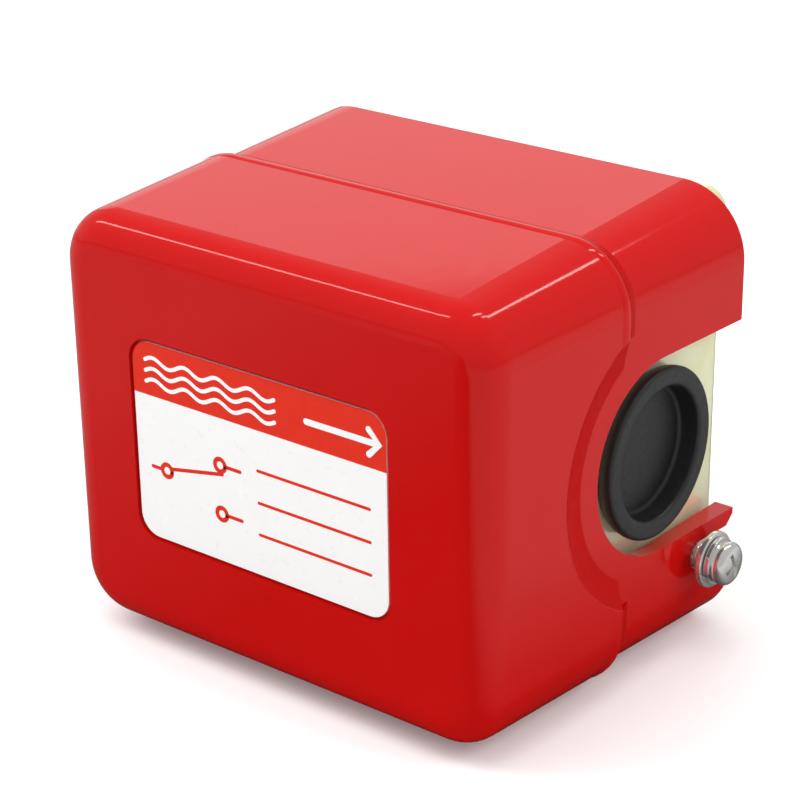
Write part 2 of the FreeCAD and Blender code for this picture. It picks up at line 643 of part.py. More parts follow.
blade = new_body("paddle_blade")
blade_outline = new_sketch(blade, "YZ_Plane")
draw_rounded(blade_outline, (size.blade_start + size.blade_length / 2, 0), size.blade_length,
             size.blade_width, size.blade_width / 3)
for y in rivet_places:
    draw_circle(blade_outline, (y, 0), size.rivet_radius + size.thread_clearance)
extrude(blade, "PartDesign::Pad", blade_outline, size.blade_thickness)
keep("paddle_blade", blade)

rivets = []
for k, y in enumerate(rivet_places, start=1):
    shank = rod(f"rivet_shank_{k}", (-size.arm_radius * 0.9, y, 0), "X", size.rivet_radius,
                size.arm_radius * 0.9 + size.blade_thickness)
    head = rod(f"rivet_head_{k}", (size.blade_thickness, y, 0), "X", size.rivet_head_radius,
               size.rivet_head)
    rivets.append(fuse(f"rivet_{k}", [shank, head]))
keep("paddle_rivets", group("paddle_rivets", rivets))

# ---- bellows between the boss and its cap, soldered to the arm ----

fold = size.bellows_length / size.bellows_count
outside, inside = [], []
for k in range(int(round(size.bellows_count.number))):
    low = cap_base.number + k * fold.number
    wall = size.bellows_wall.number
    crest, root = size.bellows_crest.number, size.bellows_root.number
    outside += [(root + wall, low), (crest, low + fold.number / 2)]
    inside += [(root, low), (crest - wall, low + fold.number / 2)]
outside.append((size.bellows_root.number + size.bellows_wall.number, boss_top.number))
inside.append((size.bellows_root.number, boss_top.number))
loop = [Vector(x, y, 0) for x, y in outside + inside[::-1]]
skin = Part.Face(Part.makePolygon(loop + [loop[0]]))
bellows = doc.addObject("Part::Feature", "bellows")
bellows.Shape = skin.revolve(Vector(0, 0, 0), Vector(0, 1, 0), 360)
bellows.Placement = Placement()
keep("bellows", bellows)

cap = rod("cap_disc", (0, lever_seat, 0), "Y", size.bellows_crest, size.cap_thickness)
cap_hole = rod("cap_hole", (0, lever_seat, 0), "Y", snug_radius, size.cap_thickness)
keep("bellows_cap", cut("bellows_cap", cap, [cap_hole]))

# ---- switch lever: a bent strip on the arm's inner end, with its nut ----

lever = new_body("switch_lever")
lever_face = -size.lever_foot / 2
foot_outline = new_sketch(lever, "XZ_Plane", (0, 0, -lever_seat))
half_foot, half_lever = size.lever_foot / 2, size.lever_width / 2
draw_polygon(foot_outline, [(-half_foot, -half_lever), (half_foot, -half_lever),
                            (half_foot, half_lever), (-half_foot, half_lever)])
draw_circle(foot_outline, (0, 0), snug_radius)
extrude(lever, "PartDesign::Pad", foot_outline, size.lever_thickness)
upright = new_sketch(lever, "YZ_Plane", (0, 0, lever_face))
lever_top = lever_seat - size.lever_height
half_top = size.lever_top_width / 2
draw_polygon(upright, [(lever_seat, -half_lever), (lever_seat, half_lever), (lever_top, half_top),
                       (lever_top, -half_top)])
extrude(lever, "PartDesign::Pad", upright, size.lever_thickness)
round_edges(lever, size.bend_radius - size.plate_thickness,
            bend_edge(lever_face + size.lever_thickness, nut_seat, half_lever))
keep("switch_lever", lever)

lever_nut = hexagon("lever_nut_blank", (0, nut_seat, 0), "-Y", size.nut_across_flats, size.nut_height)
lever_nut_bore = rod("lever_nut_bore", (0, nut_seat, 0), "-Y", snug_radius, size.nut_height)
keep("lever_nut", cut("lever_nut", lever_nut, [lever_nut_bore]))

# ---- snap-action switch: case with terminal bays, and its plunger ----

case_back = rim - size.bridge_rise
case_front = case_back - size.case_thickness
plunger_tip = lever_face - size.plunger_gap
case_face = plunger_tip - size.plunger_reach
case_far = case_face - size.case_height
case_mid = (case_face + case_far) / 2
hole_x = case_face - size.case_hole_inset
case = new_body("microswitch_case")
case_outline = new_sketch(case, "XZ_Plane", (0, 0, -case_back))
draw_rounded(case_outline, (case_mid, 0), size.case_height, size.case_length, size.case_round)
extrude(case, "PartDesign::Pad", case_outline, size.case_thickness)
case_holes = new_sketch(case, "XZ_Plane", (0, 0, -case_back))
switch_screw_places = [(hole_x, size.case_hole_spacing / 2 * sign) for sign in (1, -1)]
for place in switch_screw_places:
    draw_circle(case_holes, place, size.case_hole_radius)
extrude(case, "PartDesign::Pocket", case_holes, size.case_thickness, backwards=True)
plunger_hole = new_sketch(case, "YZ_Plane", (0, 0, case_face))
plunger_at = (case_back - size.case_thickness / 2, measure(0))
draw_circle(plunger_hole, plunger_at, size.plunger_radius + size.running_clearance)
extrude(case, "PartDesign::Pocket", plunger_hole, size.plunger_seat + size.plunger_travel)
bay_places = [size.bay_pitch * k for k in (-1, 0, 1)]
bays = new_sketch(case, "XZ_Plane", (0, 0, -case_front))
for z in bay_places:
    half_bay = size.bay_width / 2
    draw_polygon(bays, [(case_far - 1, z - half_bay), (case_far + size.bay_length, z - half_bay),
                        (case_far + size.bay_length, z + half_bay), (case_far - 1, z + half_bay)])
extrude(case, "PartDesign::Pocket", bays, size.bay_depth)
terminal_x = case_far + size.bay_length / 2
bay_floor = case_front + size.bay_depth
terminal_holes = new_sketch(case, "XZ_Plane", (0, 0, -bay_floor))
terminal_bore = size.terminal_screw_radius + size.thread_clearance
for z in bay_places:
    draw_circle(terminal_holes, (terminal_x, z), terminal_bore)
extrude(case, "PartDesign::Pocket", terminal_holes, size.terminal_screw_length)
keep("microswitch_case", case)

keep("switch_plunger", rod("switch_plunger", (plunger_tip, plunger_at[0], 0), "-X",
                           size.plunger_radius, size.plunger_reach + size.plunger_seat))

clamp_seat = bay_floor - size.clamp_thickness
clamps, terminal_screws = [], []
for k, z in enumerate(bay_places, start=1):
    clamp = block(f"clamp_blank_{k}", (case_far - size.clamp_overhang, clamp_seat, z - size.clamp_width / 2),
                  (size.clamp_overhang + size.bay_length - size.slide_gap, size.clamp_thickness,
                   size.clamp_width))
    hole = rod(f"clamp_hole_{k}", (terminal_x, clamp_seat, z), "Y", terminal_bore,
               size.clamp_thickness)
    clamps.append(cut(f"terminal_clamp_{k}", clamp, [hole]))
    terminal_screws.append(pan_screw(f"terminal_screw_{k}", (terminal_x, clamp_seat, z), "-Y",
                                     (0, -1, 0), size.terminal_screw_radius,
                                     size.terminal_screw_length, size.terminal_head_radius,
                                     size.terminal_head_height))
keep("terminal_clamps", group("terminal_clamps", clamps))
keep("terminal_screws", group("terminal_screws", terminal_screws))

# ---- bridge: a bent strip that carries the switch above the base plate ----

bridge = new_body("switch_bracket")
bridge_profile = new_sketch(bridge, "YZ_Plane", (0, 0, case_mid - size.bridge_width / 2))
span = size.cover_height / 2 - size.cover_wall - size.bridge_side_gap
thick = size.bridge_thickness
draw_polygon(bridge_profile, [
    (rim, span - size.bridge_foot), (rim, span), (case_back, span), (case_back, -span),
    (rim, -span), (rim, -span + size.bridge_foot), (rim - thick, -span + size.bridge_foot),
    (rim - thick, -span + thick), (case_back + thick, -span + thick),
    (case_back + thick, span - thick), (rim - thick, span - thick),
    (rim - thick, span - size.bridge_foot)])
extrude(bridge, "PartDesign::Pad", bridge_profile, size.bridge_width)


def cross_edge(places):
    """A test for edges that run along X at one of the given (y, z) places."""
    numbers = [(measure(y).number, abs(measure(z).number)) for y, z in places]

    def wanted(edge):
        middle, box = edge.CenterOfMass, edge.BoundBox
        return box.XLength > 1 and box.YLength < 1e-3 and box.ZLength < 1e-3 and any(
            abs(middle.y - y) < 1e-3 and abs(abs(middle.z) - z) < 1e-3 for y, z in numbers)
    return wanted


round_edges(bridge, size.bend_radius, cross_edge([(case_back, span), (rim, span)]))
round_edges(bridge, size.bend_radius - thick,
            cross_edge([(case_back + thick, span - thick), (rim - thick, span - thick)]))
bridge_holes = new_sketch(bridge, "XZ_Plane", (0, 0, -case_back))
for place in switch_screw_places:
    draw_circle(bridge_holes, place, snug_radius)
extrude(bridge, "PartDesign::Pocket", bridge_holes, thick)
keep("switch_bracket", bridge)

switch_screws = [pan_screw(f"switch_screw_{k}", (place[0], case_front, place[1]), "-Y", (0, -1, 0),
                           size.screw_radius, size.case_thickness + thick + 1, size.head_radius,
                           size.head_height)
                 for k, place in enumerate(switch_screw_places, start=1)]
keep("switch_mounting_screws", group("switch_mounting_screws", switch_screws))

# ---- range adjustment: bracket, captive screw, travelling nut and spring ----

spring_y = rim - size.spring_rise
bracket_inner = -size.spring_bracket_place
bracket_outer = bracket_inner - size.spring_bracket_thickness
stand = new_body("spring_bracket")
stand_profile = new_sketch(stand, "XY_Plane")
stand_thick = size.spring_bracket_thickness
draw_polygon(stand_profile, [
    (bracket_outer, rim), (bracket_inner + size.spring_bracket_foot, rim),
    (bracket_inner + size.spring_bracket_foot, rim - stand_thick),
    (bracket_inner, rim - stand_thick), (bracket_inner, rim - size.spring_bracket_height),
    (bracket_outer, rim - size.spring_bracket_height)])
extrude(stand, "PartDesign::Pad", stand_profile, size.spring_bracket_width, both_ways=True)
half_stand = size.spring_bracket_width / 2
round_edges(stand, size.bend_radius, bend_edge(bracket_outer, rim, half_stand))
round_edges(stand, size.bend_radius - stand_thick,
            bend_edge(bracket_inner, rim - stand_thick, half_stand))
adjuster_hole = new_sketch(stand, "YZ_Plane", (0, 0, bracket_inner))
draw_circle(adjuster_hole, (spring_y, 0), size.screw_radius + size.running_clearance)
extrude(stand, "PartDesign::Pocket", adjuster_hole, stand_thick)
keep("spring_bracket", stand)

adjuster_head = rod("adjuster_head_blank", (bracket_outer, spring_y, 0), "-X", size.head_radius,
                    size.adjuster_head)
adjuster_shank = rod("adjuster_shank", (bracket_outer, spring_y, 0), "X", size.screw_radius,
                     size.adjuster_length)
driver_slot = block("adjuster_slot",
                    (bracket_outer - size.adjuster_head - 1, spring_y - size.head_radius / 7,
                     -size.head_radius),
                    (1 + size.adjuster_head / 3, size.head_radius * 2 / 7, size.head_radius * 2))
keep("adjusting_screw", cut("adjusting_screw", fuse("adjuster_blank", [adjuster_head, adjuster_shank]),
                            [driver_slot]))

nut_face = lever_face - size.spring_length
nut_low = spring_y - size.spring_nut_width / 2
nut_high = rim - stand_thick - size.slide_gap
nut_blank = block("spring_nut_blank",
                  (nut_face - size.spring_nut_thickness, nut_low, -size.spring_nut_width / 2),
                  (size.spring_nut_thickness, nut_high - nut_low, size.spring_nut_width))
nut_hole = rod("spring_nut_hole", (nut_face, spring_y, 0), "-X",
               size.screw_radius + size.running_clearance, size.spring_nut_thickness)
keep("spring_nut", cut("spring_nut", nut_blank, [nut_hole]))

wire, coil = size.spring_wire_radius.number, size.spring_radius.number
coil_length = size.spring_length.number - 2 * (wire + size.spring_gap.number)
helix = Part.makeHelix(coil_length / size.spring_turns.number, coil_length, coil)
rim_points = [Vector(coil + wire * math.cos(turn), 0, wire * math.sin(turn))
              for turn in (k * math.pi / 3 for k in range(6))]
section = Part.makePolygon(rim_points + rim_points[:1])
range_spring = doc.addObject("Part::Feature", "range_spring")
range_spring.Shape = Part.Wire(helix.Edges).makePipeShell([section], True, True)
spring_start = nut_face.number + wire + size.spring_gap.number
range_spring.Placement = Placement(Vector(spring_start, spring_y.number, 0), TURNS["X"])
keep("range_spring", range_spring)

# ---- check every object, then write each node to its own file ----

doc.recompute()
for thing in doc.Objects:
    if "Invalid" in thing.State or "Error" in thing.State:
        raise ValueError(f"{thing.Label} failed: {thing.State}")
os.makedirs("parts", exist_ok=True)
for name, thing in nodes.items():
    shape = thing.Shape
    if shape.isNull() or not shape.isValid() or not shape.Solids:
        raise ValueError(f"{name} has no valid solid")
    shape.exportStep(f"parts/{name}.step")
print(len(nodes), "nodes written")
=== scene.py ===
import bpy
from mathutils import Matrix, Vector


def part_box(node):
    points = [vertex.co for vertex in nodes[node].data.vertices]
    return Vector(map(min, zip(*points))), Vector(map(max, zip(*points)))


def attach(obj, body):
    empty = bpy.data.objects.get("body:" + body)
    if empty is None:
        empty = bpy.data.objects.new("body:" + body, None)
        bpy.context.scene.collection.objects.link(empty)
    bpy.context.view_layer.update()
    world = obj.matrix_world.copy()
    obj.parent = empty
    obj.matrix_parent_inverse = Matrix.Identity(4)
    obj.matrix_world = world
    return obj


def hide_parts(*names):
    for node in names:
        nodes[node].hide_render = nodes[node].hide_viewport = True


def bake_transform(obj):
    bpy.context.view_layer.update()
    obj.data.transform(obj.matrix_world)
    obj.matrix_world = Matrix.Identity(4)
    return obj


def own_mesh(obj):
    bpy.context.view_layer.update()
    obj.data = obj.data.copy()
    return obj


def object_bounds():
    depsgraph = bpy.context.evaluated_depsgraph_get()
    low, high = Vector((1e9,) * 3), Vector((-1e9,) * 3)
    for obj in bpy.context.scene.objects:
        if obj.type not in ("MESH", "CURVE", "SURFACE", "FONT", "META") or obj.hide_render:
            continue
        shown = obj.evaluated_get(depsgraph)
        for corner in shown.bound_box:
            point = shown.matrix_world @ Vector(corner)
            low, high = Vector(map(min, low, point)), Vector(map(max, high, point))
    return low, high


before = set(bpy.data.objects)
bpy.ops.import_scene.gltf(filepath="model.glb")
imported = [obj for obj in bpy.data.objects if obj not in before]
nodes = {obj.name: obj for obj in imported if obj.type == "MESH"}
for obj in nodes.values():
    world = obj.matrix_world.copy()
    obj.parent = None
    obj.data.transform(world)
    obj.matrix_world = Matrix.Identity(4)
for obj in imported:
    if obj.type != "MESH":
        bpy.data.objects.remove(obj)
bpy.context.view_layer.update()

import math

import bmesh
import bpy
from mathutils import Matrix, Quaternion, Vector

mm = 0.001
scene = bpy.context.scene
scene.view_settings.view_transform = "Standard"


# ---- Camera ----
# It looks down on the front and on the entry side, from a little over a third of a metre.

cover_low, cover_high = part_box("cover")
cover_middle = (cover_low + cover_high) / 2
heading, tilt, roll = (math.radians(angle) for angle in (39.006, 23.361, -0.797))
camera_distance = 365.5 * mm
middle_aside, middle_below = -0.977 * mm, 1.936 * mm
back = Vector((math.sin(heading) * math.cos(tilt), -math.cos(heading) * math.cos(tilt), math.sin(tilt)))
turn = back.to_track_quat("Z", "Y") @ Quaternion((0, 0, 1), roll)
camera = bpy.data.objects.new("camera", bpy.data.cameras.new("camera"))
camera.data.lens = 106.44
camera.data.sensor_width = 36
camera.data.clip_start = 10 * mm
camera.rotation_mode = "QUATERNION"
camera.rotation_quaternion = turn
camera.location = cover_middle + back * camera_distance - turn @ Vector((middle_aside, -middle_below, 0))
scene.collection.objects.link(camera)
scene.camera = camera


# ---- Studio ----
# A pale matt floor that the switch rests on, an even white room, and three soft lamps. In gloss
# the floor shows a painted reflection, dark near the switch and lighter to either side and far
# behind: painted shade that stands in for a dark room. Four more lamps give no light and are only
# seen in gloss.

class Wire:
    """The output of a node. Sums, differences and products of wires and numbers add Math nodes."""

    def __init__(self, tree, socket):
        self.tree = tree
        self.socket = socket

    def __add__(self, other):
        return self.tree.node("ShaderNodeMath", {"operation": "ADD"}, {0: self, 1: other})

    def __rsub__(self, other):
        return self.tree.node("ShaderNodeMath", {"operation": "SUBTRACT"}, {0: other, 1: self})

    def __mul__(self, other):
        return self.tree.node("ShaderNodeMath", {"operation": "MULTIPLY"}, {0: self, 1: other})

    __radd__ = __add__


class Tree:
    """The nodes of a material or of the world."""

    def __init__(self, owner):
        owner.use_nodes = True
        self.nodes = owner.node_tree.nodes
        self.links = owner.node_tree.links

    def fill(self, node, sockets):
        for name, value in sockets.items():
            if isinstance(value, Wire):
                self.links.new(value.socket, node.inputs[name])
            else:
                node.inputs[name].default_value = value

    def node(self, kind, settings, sockets, output=0):
        """Adds a node: its settings first, a ramp's stops among them, then its sockets."""
        made = self.nodes.new(kind)
        for name, value in settings.items():
            if name == "stops":
                for place, colour in value[2:]:
                    made.color_ramp.elements.new(place)
                for element, (place, colour) in zip(made.color_ramp.elements, value):
                    element.position = place
                    element.color = colour
            else:
                setattr(made, name, value)
        self.fill(made, sockets)
        return Wire(self, made.outputs[output])

    def mix(self, mask, first, second):
        """A colour between two colours."""
        return self.node("ShaderNodeMix", {"data_type": "RGBA"}, {0: mask, 6: first, 7: second}, 2)

    def ray(self, kind):
        """1 for rays of the kind, such as those that show a reflection, and 0 for the rest."""
        return self.node("ShaderNodeLightPath", {}, {}, kind)


class Finish(Tree):
    """One material on the Principled shader. Its constants go on the shader's own sockets."""

    def __init__(self, name, **constants):
        self.material = bpy.data.materials.new(name)
        super().__init__(self.material)
        self.shader = self.nodes["Principled BSDF"]
        self.set(**constants)

    def set(self, **sockets):
        self.fill(self.shader, {name.replace("_", " ").title().replace("Ior", "IOR"): value
                                for name, value in sockets.items()})

    def place(self, axis):
        """One coordinate in the piece's own space."""
        place = self.node("ShaderNodeTexCoord", {}, {}, "Object")
        return self.node("ShaderNodeSeparateXYZ", {}, {0: place}, axis)

    def noise(self, grain, detail=3.0, stretch=(1, 1, 1)):
        """Soft noise in the piece's own space. Grain is the size of its blobs in metres."""
        place = self.node("ShaderNodeTexCoord", {}, {}, "Object")
        scaled = self.node("ShaderNodeVectorMath", {"operation": "DIVIDE"},
                           {0: place, 1: [grain * part for part in stretch]})
        return self.node("ShaderNodeTexNoise", {}, {"Vector": scaled, "Scale": 1.0, "Detail": detail})

    def band(self, value, low, high, to_low=0.0, to_high=1.0):
        """The value taken from one range to another, and held at its ends."""
        return self.node("ShaderNodeMapRange", {},
                         {"Value": value, "From Min": low, "From Max": high,
                          "To Min": to_low, "To Max": to_high})

    def relief(self, height, depth):
        """Fine relief in the surface. Depth is in metres for a height from 0 to 1."""
        self.set(normal=self.node("ShaderNodeBump", {}, {"Height": height, "Distance": depth}))


floor_finish = Finish("pale_floor", roughness=0.6, specular_ior_level=0.2, emission_strength=1.0)
floor_side = floor_finish.place("X")
# Painted reflection: the floor's colour in gloss is near black by the switch and lighter to either side
# and far behind, painted shade standing in for a dark room.
floor_far = (floor_finish.band(floor_side, -60 * mm, -160 * mm)
             * floor_finish.band(floor_finish.place("Y"), 120 * mm, 220 * mm))
floor_reflection_shade = (0.03 + floor_finish.band(floor_side, 48 * mm, 80 * mm, 0.0, 0.42)
               + floor_finish.band(floor_side, -20 * mm, -110 * mm, 0.0, 0.25) + floor_far * 0.5)
floor_painted_reflection = floor_finish.mix(floor_reflection_shade, (0, 0, 0, 1), (1, 1, 1, 1))
floor_eye = floor_finish.mix(floor_finish.ray("Is Camera Ray"),
                             (0.74, 0.74, 0.74, 1), (0.95, 0.95, 0.95, 1))
floor_finish.set(base_color=floor_finish.mix(floor_finish.ray("Is Glossy Ray"), floor_eye, floor_painted_reflection),
                 emission_color=floor_finish.mix(floor_finish.ray("Is Camera Ray"),
                                                 (0, 0, 0, 1), (0.12, 0.12, 0.12, 1)))
floor_mesh = bpy.data.meshes.new("floor")
floor_shape = bmesh.new()
bmesh.ops.create_grid(floor_shape, x_segments=1, y_segments=1, size=4.0)
floor_shape.to_mesh(floor_mesh)
floor_mesh.materials.append(floor_finish.material)
floor = bpy.data.objects.new("floor", floor_mesh)
floor.location = (0, 0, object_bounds()[0].z)
scene.collection.objects.link(floor)

scene.world = bpy.data.worlds.new("white_room")
room = Tree(scene.world)
room_level = 0.72 - room.ray("Is Glossy Ray") * 0.3 + room.ray("Is Camera Ray") * 0.28
room.fill(room.nodes["Background"], {"Color": (1, 1, 1, 1), "Strength": room_level})


def softbox(name, heading, tilt, away, width, height, glow, mirrored=False, lean=0):
    """A soft lamp that faces the cover. Glow is its brightness, where 1 is white. It gives even
    light, or it is mirrored in gloss and gives no light besides. Its angles are in degrees."""
    side, rise = math.radians(heading), math.radians(tilt)
    outward = Vector((math.sin(side) * math.cos(rise), -math.cos(side) * math.cos(rise), math.sin(rise)))
    lamp = bpy.data.objects.new(name, bpy.data.lights.new(name, "AREA"))
    lamp.data.shape = "RECTANGLE"
    lamp.data.size, lamp.data.size_y = width, height
    lamp.data.energy = glow * math.pi * width * height
    lamp.visible_glossy = mirrored
    lamp.visible_diffuse = not mirrored
    lamp.location = cover_middle + outward * away
    lamp.rotation_euler = (outward.to_track_quat("Z", "Y")
                           @ Quaternion((0, 0, 1), math.radians(lean))).to_euler()
    scene.collection.objects.link(lamp)


softbox("top_softbox", 0, 82, 0.75, 0.7, 0.5, 1.95)
softbox("left_softbox", -55, 45, 0.8, 0.35, 0.5, 4.7)
softbox("right_softbox", 115, 38, 0.8, 0.5, 0.3, 3.9)
softbox("rear_wall_mirrored", -141, 17, 0.8, 0.66, 0.34, 0.56, mirrored=True)
softbox("front_strip_mirrored", -66, 48, 3, 1.7, 0.15, 10.0, mirrored=True, lean=60)
softbox("rear_strip_mirrored", 162.3, 51.45, 3, 0.15, 0.9, 9.0, mirrored=True, lean=17)
softbox("upper_strip_mirrored", 158, 70, 0.5, 0.03, 0.17, 12.0, mirrored=True, lean=17)


# ---- Shapes ----
# Plates, turned shapes and joined or cut meshes, which several of the pieces below share.

def polygon_plate(outline, low, high):
    """A flat plate on the front: its outline in x and z, between two levels of y."""
    shape = bmesh.new()
    rings = [[shape.verts.new((x, y, z)) for x, z in outline] for y in (low, high)]
    count = len(outline)
    shape.faces.new(rings[0])
    shape.faces.new(rings[1][::-1])
    for k in range(count):
        follow = (k + 1) % count
        shape.faces.new((rings[0][k], rings[1][k], rings[1][follow], rings[0][follow]))
    bmesh.ops.recalc_face_normals(shape, faces=shape.faces)
    return shape


def rounded_outline(low, high, radius, steps=10):
    """The corners of a rectangle in x and z, with round stretches."""
    outline = []
    middle = ((low[0] + high[0]) / 2, (low[1] + high[1]) / 2)
    reach = ((high[0] - low[0]) / 2 - radius, (high[1] - low[1]) / 2 - radius)
    for quarter, (across, up) in enumerate(((1, 1), (-1, 1), (-1, -1), (1, -1))):
        for k in range(steps + 1):
            angle = (quarter + k / steps) * math.pi / 2
            outline.append((middle[0] + across * reach[0] + radius * math.cos(angle),
                            middle[1] + up * reach[1] + radius * math.sin(angle)))
    return outline


def softened(points, radius, steps=4):
    """An open outline with each inner corner taken round, as far as its sides allow."""
    outline = [Vector(points[0])]
    for before, corner, after in zip(points, points[1:], points[2:]):
        before, corner, after = Vector(before), Vector(corner), Vector(after)
        room_left = min((before - corner).length, (after - corner).length) * 0.48
        cut = min(radius, room_left)
        start = corner + (before - corner).normalized() * cut
        stop = corner + (after - corner).normalized() * cut
        for k in range(steps + 1):
            share = k / steps
            outline.append(start.lerp(corner, share).lerp(corner.lerp(stop, share), share))
    outline.append(Vector(points[-1]))
    return outline


def lathe(profile, around=64):
    """A turned shape about Z from an outline of (radius, height) points, closed on the axis or
    on itself."""
    shape = bmesh.new()
    rings = []
    for radius, height in profile:
        if radius < 1e-9:
            rings.append([shape.verts.new((0, 0, height))] * around)
        else:
            rings.append([shape.verts.new((radius * math.cos(math.tau * k / around),
                                           radius * math.sin(math.tau * k / around), height))
                          for k in range(around)])
    if profile[0][0] > 1e-9:
        rings.append(rings[0])
    for low, high in zip(rings, rings[1:]):
        for k in range(around):
            follow = (k + 1) % around
            corners = [low[k], low[follow], high[follow], high[k]]
            corners = list(dict.fromkeys(corners))
            if len(corners) > 2:
                shape.faces.new(corners)
    bmesh.ops.recalc_face_normals(shape, faces=shape.faces)
    return shape


def placed(shape, place, axis):
    """The shape moved so that its Z runs along the axis from the place."""
    turn_to = Vector(axis).to_track_quat("Z", "Y").to_matrix().to_4x4()
    shape.transform(Matrix.Translation(Vector(place)) @ turn_to)
    return shape


def join(shapes):
    """One mesh from several, which are used up."""
    whole = bmesh.new()
    for shape in shapes:
        part = bpy.data.meshes.new("part")
        shape.to_mesh(part)
        shape.free()
        whole.from_mesh(part)
        bpy.data.meshes.remove(part)
    return whole


def carved(shape, tool, operation="DIFFERENCE"):
    """The first shape cut or kept by the second. Both are used up."""
    things = []
    for part in (shape, tool):
        mesh = bpy.data.meshes.new("part")
        part.to_mesh(mesh)
        part.free()
        things.append(bpy.data.objects.new("part", mesh))
        scene.collection.objects.link(things[-1])
    cut = things[0].modifiers.new("cut", "BOOLEAN")
    cut.operation = operation
    cut.solver = "EXACT"
    cut.object = things[1]
    result = bmesh.new()
    result.from_object(things[0], bpy.context.evaluated_depsgraph_get())
    for thing in things:
        mesh = thing.data
        bpy.data.objects.remove(thing)
        bpy.data.meshes.remove(mesh)
    return result


def piece(name, shape, finish, body, slot, *replaced, soften=0.0, sharp=35):
    """Puts a mesh in place: its finish, the body it rides on, or None to leave it on no body,
    and the nodes that it stands for."""
    for edge in shape.edges:
        edge.smooth = edge.calc_face_angle(0) < math.radians(sharp)
    for face in shape.faces:
        face.smooth = True
    mesh = bpy.data.meshes.new(name)
    shape.to_mesh(mesh)
    shape.free()
    mesh.materials.append(finish.material)
    thing = bpy.data.objects.new(name, mesh)
    scene.collection.objects.link(thing)
    if soften:
        bevel = thing.modifiers.new("soft_edges", "BEVEL")
        bevel.width = soften
        bevel.segments = 3
        bevel.limit_method = "ANGLE"
        bevel.angle_limit = math.radians(sharp)
        bevel.harden_normals = True
    if body:
        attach(thing, body)
    if replaced:
        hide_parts(*replaced)
    return thing


def dress(finish, *names):
    """Gives frame nodes whose shape stays as it is their finish."""
    for name in names:
        nodes[name].data.materials.clear()
        nodes[name].data.materials.append(finish.material)


# ---- Cover ----
# One deep red moulding with a high gloss, drafted towards its front. The front portion stands a
# step proud of the rear one, with a fine bead along its edge, and is cut back in a slope that runs
# in a circle about the cable entry. Both slopes are painted shade: a deeper red with little gloss,
# standing in for the dark reflections there, though the real moulding is one red.

red = Finish("cover_red", roughness=0.08, specular_ior_level=0.32)
red.set(base_color=red.mix(red.noise(9 * mm, 2), (0.52, 0.0035, 0.0025, 1), (0.55, 0.005, 0.004, 1)),
        roughness=red.band(red.noise(2.2 * mm, 4), 0.35, 0.75, 0.05, 0.1))
red.relief(red.noise(0.9 * mm, 2), 0.0025 * mm)
dress(red, "cover")

seam, front_step, draft = -45.3 * mm, 1 * mm, math.tan(math.radians(3.3))
entry_y, entry_z, recess_radius = -35.2 * mm, 0.3 * mm, 24 * mm
under_skin = -0.6 * mm


def side_of_cover(level, proud):
    """How far the cover's side reaches at one level of y."""
    return cover_high.x - draft * (cover_high.y - level) + proud


def cover_rail(level, proud, corner, recess=recess_radius):
    """The cover's outside at one level of y, from one side of the recess to the other."""
    side = side_of_cover(level, proud)
    top = side - cover_high.x + cover_high.z
    end = math.sqrt(recess ** 2 - (level - entry_y) ** 2)
    outline = ([(side, entry_z + end)] + rounded_outline((-side, -top), (side, top), corner)
               + [(side, entry_z - end)])
    return [(x, level, z) for x, z in outline]


def recess_rail(radius, proud):
    """One edge of the slope about the cable entry, which lies ahead of the seam."""
    end = math.acos((entry_y - seam) / radius)
    angles = [end * (k / 24 - 1) for k in range(49)]
    levels = [entry_y - radius * math.cos(angle) for angle in angles]
    return [(side_of_cover(level, proud), level, entry_z - radius * math.sin(angle))
            for angle, level in zip(angles, levels)]


def strip(*rails):
    """A long solid between rails that have the same number of points."""
    shape = bmesh.new()
    rails = [[shape.verts.new(place) for place in rail] for rail in rails]
    for rail, follow in zip(rails, rails[1:] + rails[:1]):
        for here in range(len(rail) - 1):
            shape.faces.new((rail[here], rail[here + 1], follow[here + 1], follow[here]))
    shape.faces.new([rail[0] for rail in rails])
    shape.faces.new([rail[-1] for rail in rails[::-1]])
    bmesh.ops.recalc_face_normals(shape, faces=shape.faces)
    return shape


# Painted shade: a deeper red with little gloss for the seam's step and the slope about the entry,
# standing in for the dark reflections there; the real moulding is one red.
painted_shade_red = Finish("cover_red_painted_shade", roughness=0.5, specular_ior_level=0.06)
painted_shade_red.set(base_color=painted_shade_red.mix(painted_shade_red.noise(5 * mm, 3), (0.45, 0.0008, 0.0008, 1),
                                     (0.5, 0.0015, 0.001, 1)),
             roughness=painted_shade_red.band(painted_shade_red.noise(2 * mm, 3), 0.35, 0.75, 0.4, 0.55))
painted_shade_red.relief(painted_shade_red.noise(0.9 * mm, 2), 0.0025 * mm)

# The step behind the seam and the slope about the entry take the painted shade red.
step_start, step_end, step_recess = seam + 0.1 * mm, seam + 2.4 * mm, 22.6 * mm
piece("cover_step", strip(cover_rail(step_start, front_step - 0.05 * mm, 10.2 * mm),
                          cover_rail(step_end, -0.02 * mm, 9.4 * mm, step_recess),
                          cover_rail(step_end, under_skin, 8.8 * mm, step_recess),
                          cover_rail(step_start, under_skin, 8.8 * mm)),
      painted_shade_red, "cover_shell", "cover_red", sharp=30)
slope = [(24.1, 1.02), (22.3, 0.48), (20.9, 0.12), (19.7, 0.02), (19.7, -0.6), (24.1, -0.6)]
piece("recess_slope", strip(*[recess_rail(radius * mm, proud * mm) for radius, proud in slope]),
      painted_shade_red, "cover_shell", "cover_red", sharp=30)
bead = [(-1.9, -0.03), (-1.6, 0.06), (-1.2, 0.13), (-0.8, 0.16), (-0.4, 0.12), (-0.1, 0.02),
        (0.12, -0.15), (0.1, -0.7), (-1.8, -0.7)]
piece("seam_bead", strip(*[cover_rail(seam + along * mm, front_step + proud * mm, 10.3 * mm)
                           for along, proud in bead]),
      red, "cover_shell", "cover_red", sharp=40)


# ---- Label ----
# A thin white plate with rounded corners that lies in its recess. A red band across its top has
# wave lines and the arrow of the flow. Below are the switch's contact diagram and ruled lines.

